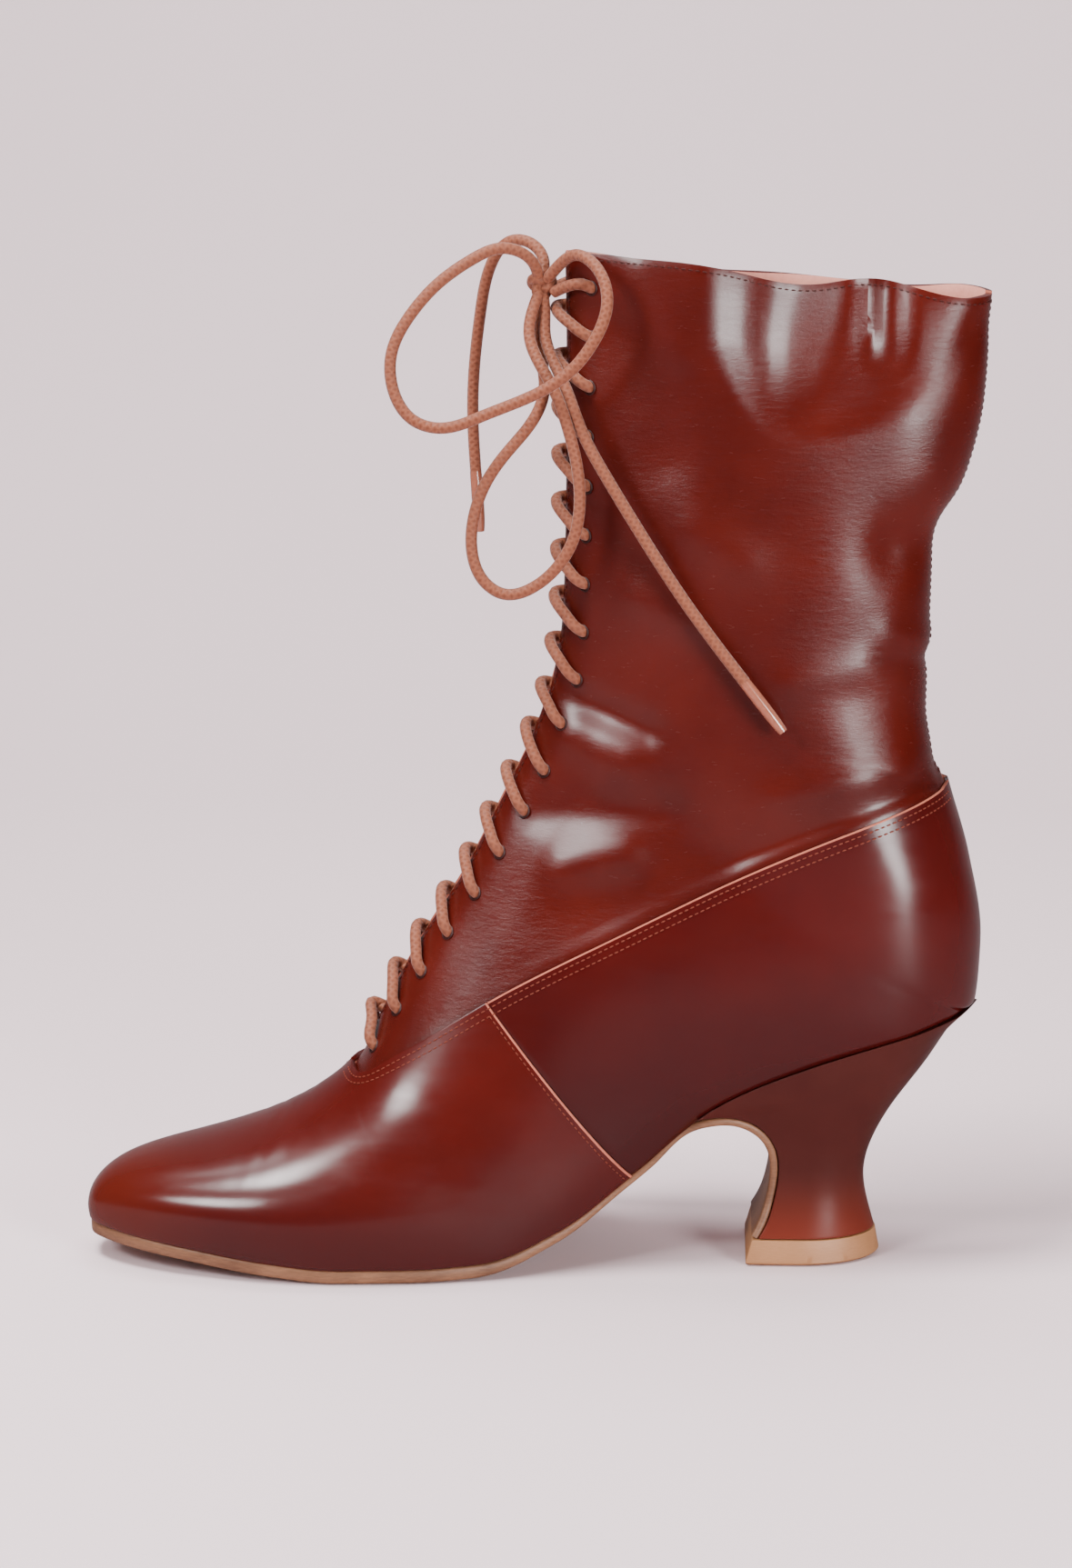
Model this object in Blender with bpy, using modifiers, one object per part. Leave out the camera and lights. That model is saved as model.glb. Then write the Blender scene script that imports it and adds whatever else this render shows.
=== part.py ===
"""Laced ankle boot with a Louis heel, for the right foot, standing on its sole.

The toe points to -X, the inner side of the foot faces -Y and +Z is up. Sizes are in millimetres.
"""

import math

import bmesh
import bpy
import numpy as np
from mathutils import Vector

MM = 0.001

# Driving sizes
LENGTH = 250.0
BALL_WIDTH = 79.6
INSTEP_RISE = 49.0
HEEL_RISE = 73.4
SHAFT_HEIGHT = 280.5
GAP = 0.3
WALL = 1.8
VAMP_THICK = 1.3
QUARTER_THICK = 1.0
TONGUE_THICK = 1.4
INSOLE_THICK = 2.0
SOLE_THICK = 3.7
WAIST_THICK = 2.7
FLAP_THICK = 1.6
SOLE_TOP_GAP = 0.7
SEAT_GAP = 0.95
TOP_PIECE = 7.0
LACE = 3.2
HOLE_PAIRS = 18
HOLE_INSET = 8.5
SLIT_HALF = 2.5
TIP_LENGTH = 17.0
TIP_THICK = 3.4
SOLE_OUT = 1.0
EDGE_SWELL = 0.3
WAIST_FROM_TO = (-15.0, 20.0)
INSOLE_IN = 3.2
TONGUE_HALF = 20.0
TONGUE_GAP = 1.1
TONGUE_ROWS = 8
TONGUE_DIP = 1.2
FADE = 25.0
FIRST_HOLE = 10.0
LAST_HOLE = 9.0
CROSS_RISE = 0.5
CROSS_POINTS = 5
LACE_CLEAR = 0.3
CORD_STEP = 2.3
KNOT = (2.0, -1.5, 271.5)
KNOT_SIZE = 8.4

# How finely the pieces are drawn
FOOT_ROWS = 7
SHAFT_ROWS = 10
SHAFT_EVEN = 0.45
SECTION_POINTS = 48
FINE_PLACES = 4000
KNOT_SEGMENTS = 10
KNOT_RINGS = 7
CROSS_SIDES = 1
CORD_SIDES = 2
FEEL_STEP = 0.4
NOSE = 1.5
LEAST_GIRTH = 0.02
MOST_EDGE = 0.99
WELD = 2e-6
SHARP = math.radians(40.0)

# Sections are blended with their neighbours where the fan of planes turns round the heel.
BLEND = ((-1.0, 0.0625), (-0.5, 0.25), (0.0, 0.375), (0.5, 0.25), (1.0, 0.0625))
BLEND_REACH = 22.0
BLEND_SPAN = 48.0
BLEND_RIM = 0.35

# The tables below are drawn for these sizes and stretched to the ones above.
DRAWN_LENGTH = 250.0
DRAWN_BALL = 79.6
DRAWN_INSTEP = 49.0
DRAWN_HEEL = 73.4
DRAWN_SHAFT = 280.5

# Sections of the last, fanned from the toe over the instep and the heel up to the collar.
# Each lies in a plane through its front point and its back point, square to the middle plane.
# girth: half the widest width; edge: half the width where the sole closes it;
# belly: where along the section it is widest, from the back; the rounds shape its two ends.
SECTION_COLUMNS = (
    "front_x", "front_z", "back_x", "back_z", "front_y", "back_y",
    "girth", "edge", "belly", "front_round", "back_round",
)
SECTIONS = (
    (-123.5, 11.2, -123.5, 11.2, -8.0, -8.0, 0.0, 0.0, 0.38, 2.1, 2.6),
    (-122.9, 16.6, -122.2, 11.0, -8.0, -8.0, 7.3, 7.0, 0.38, 2.1, 2.6),
    (-118.3, 22.4, -117.0, 10.6, -7.8, -7.8, 14.2, 13.4, 0.37, 2.1, 2.6),
    (-109.0, 27.0, -107.0, 9.7, -7.4, -7.4, 21.2, 20.0, 0.36, 2.1, 2.6),
    (-95.0, 30.8, -92.0, 8.2, -6.4, -6.3, 28.2, 26.6, 0.35, 2.0, 2.6),
    (-78.0, 35.6, -72.0, 5.9, -4.4, -4.0, 35.2, 33.2, 0.33, 1.9, 2.6),
    (-63.0, 42.4, -52.0, 4.4, -2.4, -1.4, 39.2, 37.0, 0.30, 1.8, 2.6),
    (-49.6, 53.0, -32.0, 4.4, -0.8, 0.7, 39.8, 37.6, 0.27, 1.75, 2.6),
    (-43.8, 64.0, -13.5, 5.1, -0.2, 2.7, 38.2, 36.0, 0.25, 1.7, 2.6),
    (-35.2, 79.6, 7.5, 12.4, 0.0, 4.7, 35.4, 31.0, 0.27, 1.7, 2.5),
    (-25.8, 94.3, 28.0, 27.0, 0.0, 5.6, 32.6, 25.0, 0.30, 1.75, 2.4),
    (-17.3, 107.8, 50.0, 45.6, 0.0, 4.2, 31.2, 23.0, 0.29, 1.8, 2.3),
    (-10.4, 121.7, 76.0, 59.2, 0.0, 1.6, 30.6, 25.2, 0.25, 1.8, 2.3),
    (-3.9, 135.0, 100.0, 67.4, 0.0, 0.5, 29.8, 24.2, 0.24, 1.85, 2.3),
    (0.9, 145.1, 115.5, 72.1, 0.0, 0.2, 29.2, 15.6, 0.25, 1.85, 2.2),
    (3.2, 150.3, 122.0, 73.4, 0.0, 0.0, 28.8, 0.0, 0.26, 1.85, 2.2),
    (6.2, 159.0, 123.5, 92.0, 0.0, 0.0, 28.2, 0.0, 0.28, 1.9, 2.15),
    (8.6, 169.3, 119.8, 114.5, 0.0, 0.0, 27.0, 0.0, 0.31, 1.9, 2.15),
    (10.1, 180.0, 113.8, 135.2, 0.0, 0.0, 25.8, 0.0, 0.34, 1.9, 2.2),
    (10.9, 197.0, 108.2, 157.0, 0.0, 0.0, 25.0, 0.0, 0.37, 1.95, 2.3),
    (11.2, 219.0, 109.2, 188.0, 0.0, 0.0, 24.2, 0.0, 0.40, 1.95, 2.4),
    (11.2, 238.0, 117.0, 217.0, 0.0, 0.0, 23.2, 0.0, 0.42, 1.95, 2.4),
    (11.1, 256.0, 122.4, 241.0, 0.0, 0.0, 22.0, 0.0, 0.43, 1.95, 2.4),
    (10.6, 280.5, 124.2, 271.0, 0.0, 0.0, 20.6, 0.0, 0.43, 1.95, 2.4),
)
THROAT = 7
SIDE_SEAM = 10
HEEL_BACK = 15
FOXING_BACK = 18
COLLAR = 23

# Upper edge of the foxing seen from the side, from the throat to the back seam.
FOXING_COLUMNS = ("x", "z")
FOXING_EDGE = (
    (-49.6, 53.0),
    (-47.6, 52.4),
    (-45.4, 53.0),
    (-40.0, 56.6),
    (-30.0, 63.4),
    (-10.5, 76.4),
    (22.0, 94.6),
    (54.6, 111.4),
    (87.0, 125.8),
    (113.8, 135.2),
)

# The thin end of the sole that turns down the breast of the heel: its outer face from the side.
FLAP_COLUMNS = ("x", "z", "half_width", "middle")
FLAP = (
    (44.0, 38.0, 22.6, 4.0),
    (50.0, 40.0, 21.4, 3.0),
    (56.0, 40.2, 19.8, 2.0),
    (61.0, 38.4, 18.0, 1.1),
    (65.0, 34.5, 15.8, 0.4),
    (66.7, 29.5, 13.9, 0.0),
    (66.8, 24.0, 13.0, 0.0),
    (65.8, 18.0, 13.2, 0.0),
    (63.9, 12.0, 14.8, 0.0),
    (61.9, 8.1, 16.0, 0.0),
)
FLAP_STARTS_X = 37.0

# Rings of the heel from its foot to the seat.
HEEL_COLUMNS = ("front_x", "front_z", "back_x", "back_z", "half_width")
HEEL = (
    (63.8, 7.3, 96.5, 7.3, 17.0),
    (66.2, 11.5, 94.9, 13.0, 15.6),
    (68.2, 18.0, 93.5, 20.0, 14.0),
    (69.2, 24.0, 93.6, 25.5, 13.8),
    (69.1, 29.8, 95.2, 31.5, 14.5),
    (67.2, 35.3, 98.8, 39.0, 16.5),
    (62.8, 40.2, 104.5, 47.5, 19.5),
    (56.6, 42.5, 111.5, 57.0, 22.3),
    (51.0, 42.8, 117.4, 66.0, 24.6),
)
HEEL_STARTS_X = 46.5
HEEL_STEPS = (0.0, 0.2, 0.4, 0.55, 0.7, 0.82, 0.92, 0.98, 1.0)
HEEL_STRAIGHT = 0.36
TOP_PIECE_COLUMNS = ("front_x", "back_x", "half_width", "z")
TOP_PIECE_RINGS = (
    (60.6, 97.6, 17.6, 0.0),
    (60.2, 98.0, 18.0, 0.5),
    (62.0, 96.8, 17.2, TOP_PIECE),
)

# Routes of the free cord, each point with the side of the boot that it lies to.
ROUTE_COLUMNS = ("x", "y", "z")
LOOP_FRONT = (
    (-1.2, -5.2, 279.8), (-10.0, -8.5, 282.5), (-21.0, -11.5, 277.5), (-34.5, -14.5, 263.0),
    (-39.5, -16.5, 248.0), (-35.0, -18.5, 235.0), (-25.0, -20.0, 231.5), (-11.0, -21.5, 234.5),
    (5.0, -23.8, 242.0), (17.5, -24.2, 253.5), (23.2, -21.8, 267.0), (20.0, -16.5, 278.5),
    (13.0, -10.8, 281.5),
)
LOOP_LOW = (
    (3.5, -9.0, 262.5), (2.0, -13.0, 252.5), (6.0, -17.5, 243.0), (11.5, -20.5, 232.5),
    (16.5, -22.0, 217.5), (16.0, -22.0, 203.0), (10.5, -20.5, 193.0), (1.0, -18.5, 186.5),
    (-9.0, -16.5, 187.5), (-14.0, -14.5, 198.0), (-12.5, -12.5, 211.5), (-5.5, -11.0, 228.0),
    (-0.5, -9.0, 240.5), (-3.0, -6.0, 252.0), (-4.2, -4.5, 261.0),
)
END_FAR = (
    (-2.2, 6.0, 278.2), (-8.0, 11.0, 281.0), (-12.5, 15.0, 273.0), (-14.5, 18.0, 257.0),
    (-15.0, 19.0, 240.0), (-14.4, 19.0, 225.0), (-13.6, 18.5, 214.0),
)
END_NEAR = (
    (8.2, -8.0, 267.0), (8.8, -12.4, 255.0), (11.8, -16.6, 242.0), (19.6, -20.0, 229.0),
    (31.0, -22.4, 213.0), (49.0, -27.0, 184.0), (60.0, -28.4, 167.5),
)

# Colour, roughness and metallic of each material
FINISHES = {
    "upper_leather": ((0.170, 0.020, 0.013), 0.30, 0.0),
    "vamp_leather": ((0.205, 0.030, 0.015), 0.24, 0.0),
    "quarter_leather": ((0.175, 0.021, 0.013), 0.24, 0.0),
    "tongue_leather": ((0.045, 0.010, 0.008), 0.50, 0.0),
    "sole_leather": ((0.480, 0.260, 0.150), 0.55, 0.0),
    "top_piece_leather": ((0.440, 0.235, 0.135), 0.55, 0.0),
    "insole_leather": ((0.560, 0.360, 0.270), 0.60, 0.0),
    "heel_leather": ((0.135, 0.018, 0.012), 0.24, 0.0),
    "lace_cotton": ((0.420, 0.150, 0.080), 0.70, 0.0),
    "aglet_plastic": ((0.500, 0.300, 0.200), 0.20, 0.0),
}


def clear_scene():
    for thing in list(bpy.data.objects):
        bpy.data.objects.remove(thing)


def collection(name):
    made = bpy.data.collections.new(name)
    bpy.context.scene.collection.children.link(made)
    return made


def material(name):
    colour, roughness, metallic = FINISHES[name]
    made = bpy.data.materials.new(name)
    made.use_nodes = True
    shader = made.node_tree.nodes["Principled BSDF"]
    shader.inputs["Base Color"].default_value = (*colour, 1.0)
    shader.inputs["Roughness"].default_value = roughness
    shader.inputs["Metallic"].default_value = metallic
    made.diffuse_color = (*colour, 1.0)
    return made


def sized(x=None, y=None, z=None):
    """Stretches drawn measures to the driving sizes."""
    if x is not None:
        return np.asarray(x, float) * LENGTH / DRAWN_LENGTH
    if y is not None:
        return np.asarray(y, float) * BALL_WIDTH / DRAWN_BALL
    drawn = (0.0, DRAWN_INSTEP, DRAWN_HEEL, DRAWN_SHAFT)
    wanted = (0.0, INSTEP_RISE, HEEL_RISE, SHAFT_HEIGHT)
    return np.interp(np.asarray(z, float), drawn, wanted)


def spot(place):
    """A drawn point, stretched to the driving sizes."""
    return np.array([sized(x=place[0]), sized(y=place[1]), sized(z=place[2])], float)


def natural(at, values):
    """A smooth curve through values, as a function."""
    at = np.asarray(at, float)
    values = np.asarray(values, float)
    step = np.diff(at)
    slope = np.diff(values) / step
    n = len(at)
    left = np.eye(n)
    right = np.zeros(n)
    for i in range(1, n - 1):
        left[i, i - 1 : i + 2] = step[i - 1], 2 * (step[i - 1] + step[i]), step[i]
        right[i] = 6 * (slope[i] - slope[i - 1])
    bend = np.linalg.solve(left, right)

    def curve(where):
        where = np.clip(where, at[0], at[-1])
        i = np.clip(np.searchsorted(at, where) - 1, 0, n - 2)
        a = at[i + 1] - where
        b = where - at[i]
        h = step[i]
        cubic = (bend[i] * a**3 + bend[i + 1] * b**3) / (6 * h)
        return cubic + (values[i] / h - bend[i] * h / 6) * a + (values[i + 1] / h - bend[i + 1] * h / 6) * b

    return curve


def steady(at, values):
    """A curve through values that never swings past them, as a function."""
    at = np.asarray(at, float)
    values = np.asarray(values, float)
    step = np.diff(at)
    slope = np.diff(values) / step
    turn = np.zeros(len(at))
    for i in range(1, len(at) - 1):
        if slope[i - 1] * slope[i] > 0:
            a = 2 * step[i] + step[i - 1]
            b = step[i] + 2 * step[i - 1]
            turn[i] = (a + b) / (a / slope[i - 1] + b / slope[i])
    turn[0] = slope[0]
    turn[-1] = slope[-1]

    def curve(where):
        where = np.clip(where, at[0], at[-1])
        i = np.clip(np.searchsorted(at, where) - 1, 0, len(step) - 1)
        h = step[i]
        u = (where - at[i]) / h
        start = (1 + 2 * u) * (1 - u) ** 2 * values[i] + u * (1 - u) ** 2 * h * turn[i]
        return start + u * u * (3 - 2 * u) * values[i + 1] + u * u * (u - 1) * h * turn[i + 1]

    return curve


class Last:
    """The surface of the boot's leather as a function of place along (s) and round (t)."""

    STEADY = ("back_x", "back_z", "edge")

    def __init__(self):
        table = np.array(SECTIONS, float)
        for i, name in enumerate(SECTION_COLUMNS):
            if name.endswith("_x"):
                table[:, i] = sized(x=table[:, i])
            elif name.endswith("_z"):
                table[:, i] = sized(z=table[:, i])
            elif name in ("front_y", "back_y", "girth", "edge"):
                table[:, i] = sized(y=table[:, i])
        column = dict(zip(SECTION_COLUMNS, table.T))
        moved = 0.5 * np.hypot(np.diff(column["front_x"]), np.diff(column["front_z"]))
        moved += 0.5 * np.hypot(np.diff(column["back_x"]), np.diff(column["back_z"]))
        moved += 0.5 * np.abs(np.diff(column["edge"]))
        self.rows = np.concatenate([[0.0], np.cumsum(moved)])
        self.known = {}
        self.curves = {}
        for name, values in column.items():
            kind = steady if name in self.STEADY else natural
            self.curves[name] = kind(self.rows, values)
        edge = np.array(FOXING_EDGE, float)
        self.foxing = natural(sized(x=edge[:, 0]), sized(z=edge[:, 1]))

    def at(self, s, name):
        return float(self.curves[name](s))

    def section(self, s):
        """Points of half a section from the front to the back, with the way along them."""
        if s not in self.known:
            self.known[s] = self.drawn(s)
        return self.known[s]

    def drawn(self, s):
        girth = max(self.at(s, "girth"), LEAST_GIRTH)
        edge = min(max(self.at(s, "edge"), 0.0), MOST_EDGE * girth)
        if s >= self.rows[HEEL_BACK]:
            edge = 0.0
        belly = self.at(s, "belly")
        front = self.at(s, "front_round")
        back = self.at(s, "back_round")
        turn = np.linspace(0.5 * math.pi, 0.0, SECTION_POINTS)
        up = belly + (1 - belly) * np.sin(turn) ** (2 / front)
        up_out = girth * np.abs(np.cos(turn)) ** (2 / front)
        up_out[0] = 0.0
        last = math.acos((edge / girth) ** (back / 2))
        turn = np.linspace(0.0, last, SECTION_POINTS)[1:]
        reach = belly / math.sin(last) ** (2 / back)
        low = belly - reach * np.sin(turn) ** (2 / back)
        low_out = girth * np.abs(np.cos(turn)) ** (2 / back)
        low_out[-1] = edge
        p = np.concatenate([up, low])
        out = np.concatenate([up_out, low_out])
        x = self.at(s, "back_x") + (self.at(s, "front_x") - self.at(s, "back_x")) * p
        z = self.at(s, "back_z") + (self.at(s, "front_z") - self.at(s, "back_z")) * p
        middle = self.at(s, "back_y") + (self.at(s, "front_y") - self.at(s, "back_y")) * p
        way = np.hypot(np.hypot(np.diff(x), np.diff(z)), np.diff(out))
        way = np.concatenate([[0.0], np.cumsum(way)])
        return x, middle, out, z, way

    def blend_reach(self, s, t):
        """How far along the last a point is blended: most at the heel, nothing at the rim."""
        away = min(abs(s - self.rows[HEEL_BACK]) / BLEND_SPAN, 1.0)
        return BLEND_REACH * math.cos(0.5 * math.pi * away) ** 2 * min((1.0 - t) / BLEND_RIM, 1.0)

    def point(self, s, t, side):
        reach = self.blend_reach(s, t)
        if reach < FEEL_STEP:
            return self.section_point(s, t, side)
        return sum(share * self.section_point(s + step * reach, t, side) for step, share in BLEND)

    def section_point(self, s, t, side):
        x, middle, out, z, way = self.section(s)
        at = t * way[-1]
        y = np.interp(at, way, middle) + side * np.interp(at, way, out)
        return np.array([np.interp(at, way, x), y, np.interp(at, way, z)])

    def girth_way(self, s):
        return self.section(s)[4][-1]

    def foxing_t(self, s):
        """Where the foxing's upper edge crosses this section."""
        if s <= self.rows[THROAT]:
            return 0.0
        if s >= self.rows[FOXING_BACK]:
            return 1.0
        places = np.linspace(0.0, 1.0, SECTION_POINTS)
        line = np.array([self.point(s, t, 1) for t in places])
        over = line[:, 2] - self.foxing(line[:, 0])
        first = int(np.argmax(over < 0)) if (over < 0).any() else len(over) - 1
        if first == 0:
            return 0.0
        share = over[first - 1] / (over[first - 1] - over[first])
        return float(places[first - 1] + share * (places[first] - places[first - 1]))

    def slit_t(self, s):
        """Where the lacing's opening starts on this section."""
        rise = (s - self.rows[THROAT]) / (self.rows[THROAT + 2] - self.rows[THROAT])
        return SLIT_HALF * min(max(rise, 0.0), 1.0) / self.girth_way(s)

    def normal(self, s, t, side):
        """The way out of the surface."""
        s = min(max(s, NOSE), self.rows[-1] - 2 * FEEL_STEP)
        reach = FEEL_STEP / self.girth_way(s)
        low = max(t - reach, 0.0)
        high = min(t + reach, 1.0)
        round_it = self.point(s, high, side) - self.point(s, low, side)
        along = self.point(s + FEEL_STEP, t, side) - self.point(s - FEEL_STEP, t, side)
        out = np.cross(along, round_it) * side
        if t <= reach:
            out[1] = 0.0
        if t >= 1.0 - reach and s >= self.rows[HEEL_BACK]:
            out[1] = 0.0
        if t >= 1.0 - reach and s <= self.rows[HEEL_BACK]:
            out[2] = 0.0
        size = np.linalg.norm(out)
        return out / size

    def lifted(self, s, t, side, lift):
        return self.point(s, t, side) + lift * self.normal(s, t, side)

    def outline(self, places, out):
        """The sole's edge at these places, moved out by so much: its inner and its outer side."""
        inner = [self.point(s, 1.0, -1) for s in places]
        outer = [self.point(s, 1.0, 1) for s in places]
        loop = np.array(inner + outer[-2:0:-1])
        along = np.roll(loop, -1, axis=0) - np.roll(loop, 1, axis=0)
        away = np.stack([along[:, 1], -along[:, 0], np.zeros(len(loop))], axis=1)
        loop += out * away / np.linalg.norm(away, axis=1)[:, None]
        inner = loop[: len(places)]
        outer = np.concatenate([loop[:1], loop[: len(places) - 2 : -1]])
        return inner, outer

    def place_at(self, name, value):
        """The place along the last where a column first reaches a value."""
        places = np.linspace(self.rows[0], self.rows[-1], FINE_PLACES)
        found = self.curves[name](places) >= value
        return float(places[int(np.argmax(found))])

    def stations(self, first, last, cuts=2):
        """Places along the last: the rows from first to last, and cuts to each space."""
        places = []
        for i in range(first, last):
            places += list(np.linspace(self.rows[i], self.rows[i + 1], cuts, endpoint=False))
        return places + [self.rows[last]]


def named_object(name, mesh, finish, home):
    mesh.materials.append(MATERIALS[finish])
    thing = bpy.data.objects.new(name, mesh)
    home.objects.link(thing)
    return thing


def mesh_from(name, points, faces):
    """A welded mesh from points in millimetres."""
    shape = bmesh.new()
    made = [shape.verts.new(Vector(p) * MM) for p in points]
    for face in faces:
        corners = []
        for i in face:
            if made[i] not in corners:
                corners.append(made[i])
        if len(corners) > 2:
            shape.faces.new(corners)
    bmesh.ops.remove_doubles(shape, verts=shape.verts[:], dist=WELD)
    bmesh.ops.dissolve_degenerate(shape, edges=shape.edges[:], dist=WELD / 2)
    loose = [v for v in shape.verts if not v.link_faces]
    bmesh.ops.delete(shape, geom=loose, context="VERTS")
    mesh = bpy.data.meshes.new(name)
    shape.to_mesh(mesh)
    shape.free()
    mesh.shade_smooth()
    mesh.set_sharp_from_angle(angle=SHARP)
    return mesh


class Sheet:
    """Quads gathered from grids on the last."""

    def __init__(self):
        self.points = []
        self.faces = []

    def grid(self, rows, flip):
        start = len(self.points)
        wide = len(rows[0])
        for row in rows:
            self.points += [tuple(p) for p in row]
        for i in range(len(rows) - 1):
            for j in range(wide - 1):
                a = start + i * wide + j
                face = (a, a + 1, a + wide + 1, a + wide)
                self.faces.append(face[::-1] if flip else face)


def solidified(name, sheet, finish, thick, way):
    thing = named_object(name, mesh_from(name, sheet.points, sheet.faces), finish, PARTS)
    shell = thing.modifiers.new("wall", "SOLIDIFY")
    shell.thickness = thick * MM
    shell.offset = way
    shell.use_even_offset = True
    return thing


def closed_from_rings(name, rings, finish):
    """A solid through rings of paired points; each ring runs down one side and back up the other."""
    points = [tuple(p) for ring in rings for p in ring]
    wide = len(rings[0])
    faces = []
    for i in range(len(rings) - 1):
        for j in range(wide):
            k = (j + 1) % wide
            faces.append((i * wide + j, i * wide + k, (i + 1) * wide + k, (i + 1) * wide + j))
    top = (len(rings) - 1) * wide
    for j in range(wide // 2):
        low = [j, j + 1, wide - 2 - j, wide - 1 - j]
        faces.append(tuple(low[::-1]))
        faces.append(tuple(top + i for i in low))
    mesh = mesh_from(name, points, faces)
    shape = bmesh.new()
    shape.from_mesh(mesh)
    bmesh.ops.recalc_face_normals(shape, faces=shape.faces[:])
    shape.to_mesh(mesh)
    shape.free()
    mesh.set_sharp_from_angle(angle=SHARP)
    return named_object(name, mesh, finish, PARTS)


def foot_rows(last, places, side, lift):
    """Grid points of the foot from the sole's edge to the foxing's upper edge."""
    rows = []
    for s in places:
        top = last.foxing_t(s)
        row = [last.lifted(s, 1 - (1 - top) * j / FOOT_ROWS, side, lift) for j in range(FOOT_ROWS + 1)]
        rows.append(row)
    return rows


def shaft_rows(last, places, side):
    """Grid points of the shaft from the foxing's upper edge to the lacing's opening."""
    even = np.linspace(0.0, 1.0, SHAFT_ROWS + 1)
    shares = SHAFT_EVEN * even + (1 - SHAFT_EVEN) * (1 - np.cos(math.pi * even)) / 2
    rows = []
    for s in places:
        low = last.foxing_t(s)
        high = last.slit_t(s)
        rows.append([last.point(s, low + (high - low) * share, side) for share in shares])
    return rows


def build_upper(last):
    sheet = Sheet()
    foot = last.stations(0, FOXING_BACK)
    shaft = last.stations(THROAT, COLLAR)
    for side in (-1, 1):
        sheet.grid(foot_rows(last, foot, side, 0.0), side < 0)
        sheet.grid(shaft_rows(last, shaft, side), side < 0)
    return solidified("upper", sheet, "upper_leather", WALL, -1.0)


def build_foxing(last):
    """The vamp and the quarter, laid over the upper with a fine gap between them at the side seams."""
    butt = GAP / 2
    front = last.stations(0, SIDE_SEAM)
    front[-1] -= butt
    back = last.stations(SIDE_SEAM, FOXING_BACK)
    back[0] += butt
    vamp = Sheet()
    quarter = Sheet()
    for side in (-1, 1):
        vamp.grid(foot_rows(last, front, side, GAP), side < 0)
        quarter.grid(foot_rows(last, back, side, GAP), side < 0)
    solidified("vamp", vamp, "vamp_leather", VAMP_THICK, 1.0)
    solidified("quarter", quarter, "quarter_leather", QUARTER_THICK, 1.0)


def sole_ring(inner, outer, low_inner, low_outer):
    """Six points round the sole: down its inner edge and up its outer edge."""
    swell = np.array([0.0, EDGE_SWELL, 0.0])
    return [
        inner,
        (inner + low_inner) / 2 - swell,
        low_inner,
        low_outer,
        (outer + low_outer) / 2 + swell,
        outer,
    ]


def build_outsole(last):
    end = last.place_at("back_x", float(sized(x=FLAP_STARTS_X)))
    places = [s for s in last.stations(0, SIDE_SEAM + 1) if s < end - 1.0] + [end]
    full = last.stations(0, HEEL_BACK, 4)
    marks = sorted(set(full + places))
    inner, outer = last.outline(marks, SOLE_OUT)
    rings = []
    for s in places:
        i = marks.index(s)
        top_in = inner[i] - (0, 0, SOLE_TOP_GAP)
        top_out = outer[i] - (0, 0, SOLE_TOP_GAP)
        thick = np.interp(top_in[0], WAIST_FROM_TO, (SOLE_THICK, WAIST_THICK))
        low_in = np.array([top_in[0], top_in[1], max(top_in[2] - thick, 0.0)])
        low_out = np.array([top_out[0], top_out[1], max(top_out[2] - thick, 0.0)])
        rings.append(sole_ring(top_in, top_out, low_in, low_out))
    flap = flap_lines()
    for low, high, half, middle in flap:
        spots = [np.array([p[0], middle + side * half, p[1]]) for p in (high, low) for side in (-1, 1)]
        rings.append(sole_ring(spots[0], spots[1], spots[2], spots[3]))
    closed_from_rings("outsole", rings, "sole_leather")


def flap_lines():
    """Outer and inner point of each row of the flap, with half its width and its middle."""
    table = np.array(FLAP, float)
    line = np.stack([sized(x=table[:, 0]), sized(z=table[:, 1])], axis=1)
    way = np.gradient(line, axis=0)
    way /= np.linalg.norm(way, axis=1)[:, None]
    back = np.stack([-way[:, 1], way[:, 0]], axis=1) * FLAP_THICK
    across = sized(y=table[:, 2:])
    return [(p, p + b, half, middle) for p, b, (half, middle) in zip(line, back, across)]


def heel_shape(share):
    """Half width of the heel from its breast (0) to its back (1)."""
    if share <= HEEL_STRAIGHT:
        return 1.0
    return math.sqrt(max(1.0 - ((share - HEEL_STRAIGHT) / (1.0 - HEEL_STRAIGHT)) ** 2, 0.0))


def heel_ring(front, back, half):
    """One ring of the heel, from the inner corner of the breast round the back to the outer corner."""
    inner = []
    outer = []
    for share in HEEL_STEPS:
        x, z = front + (back - front) * share
        inner.append((x, -half * heel_shape(share), z))
        outer.append((x, half * heel_shape(share), z))
    return inner + outer[-2::-1]


def build_heel(last):
    table = np.array(HEEL, float)
    rings = []
    for row in table:
        front = np.array([sized(x=row[0]), sized(z=row[1])])
        back = np.array([sized(x=row[2]), sized(z=row[3])])
        rings.append(heel_ring(front, back, float(sized(y=row[4]))))
    inner, outer = last.outline(last.stations(0, HEEL_BACK, 12), SOLE_OUT)
    start = float(sized(x=HEEL_STARTS_X))
    seat_in = []
    seat_out = []
    for share in HEEL_STEPS:
        x = start + (inner[-1][0] - start) * share
        for line, seat in ((inner, seat_in), (outer, seat_out)):
            y = np.interp(x, line[:, 0], line[:, 1])
            z = np.interp(x, line[:, 0], line[:, 2])
            seat.append((x, y, z - SEAT_GAP))
    rings.append(seat_in + seat_out[-2::-1])
    closed_from_rings("heel", rings, "heel_leather")


def build_top_piece():
    rings = []
    for front, back, half, z in TOP_PIECE_RINGS:
        ends = np.array([[sized(x=front), z], [sized(x=back), z]], float)
        rings.append(heel_ring(ends[0], ends[1], float(sized(y=half))))
    closed_from_rings("top_piece", rings, "top_piece_leather")


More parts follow.
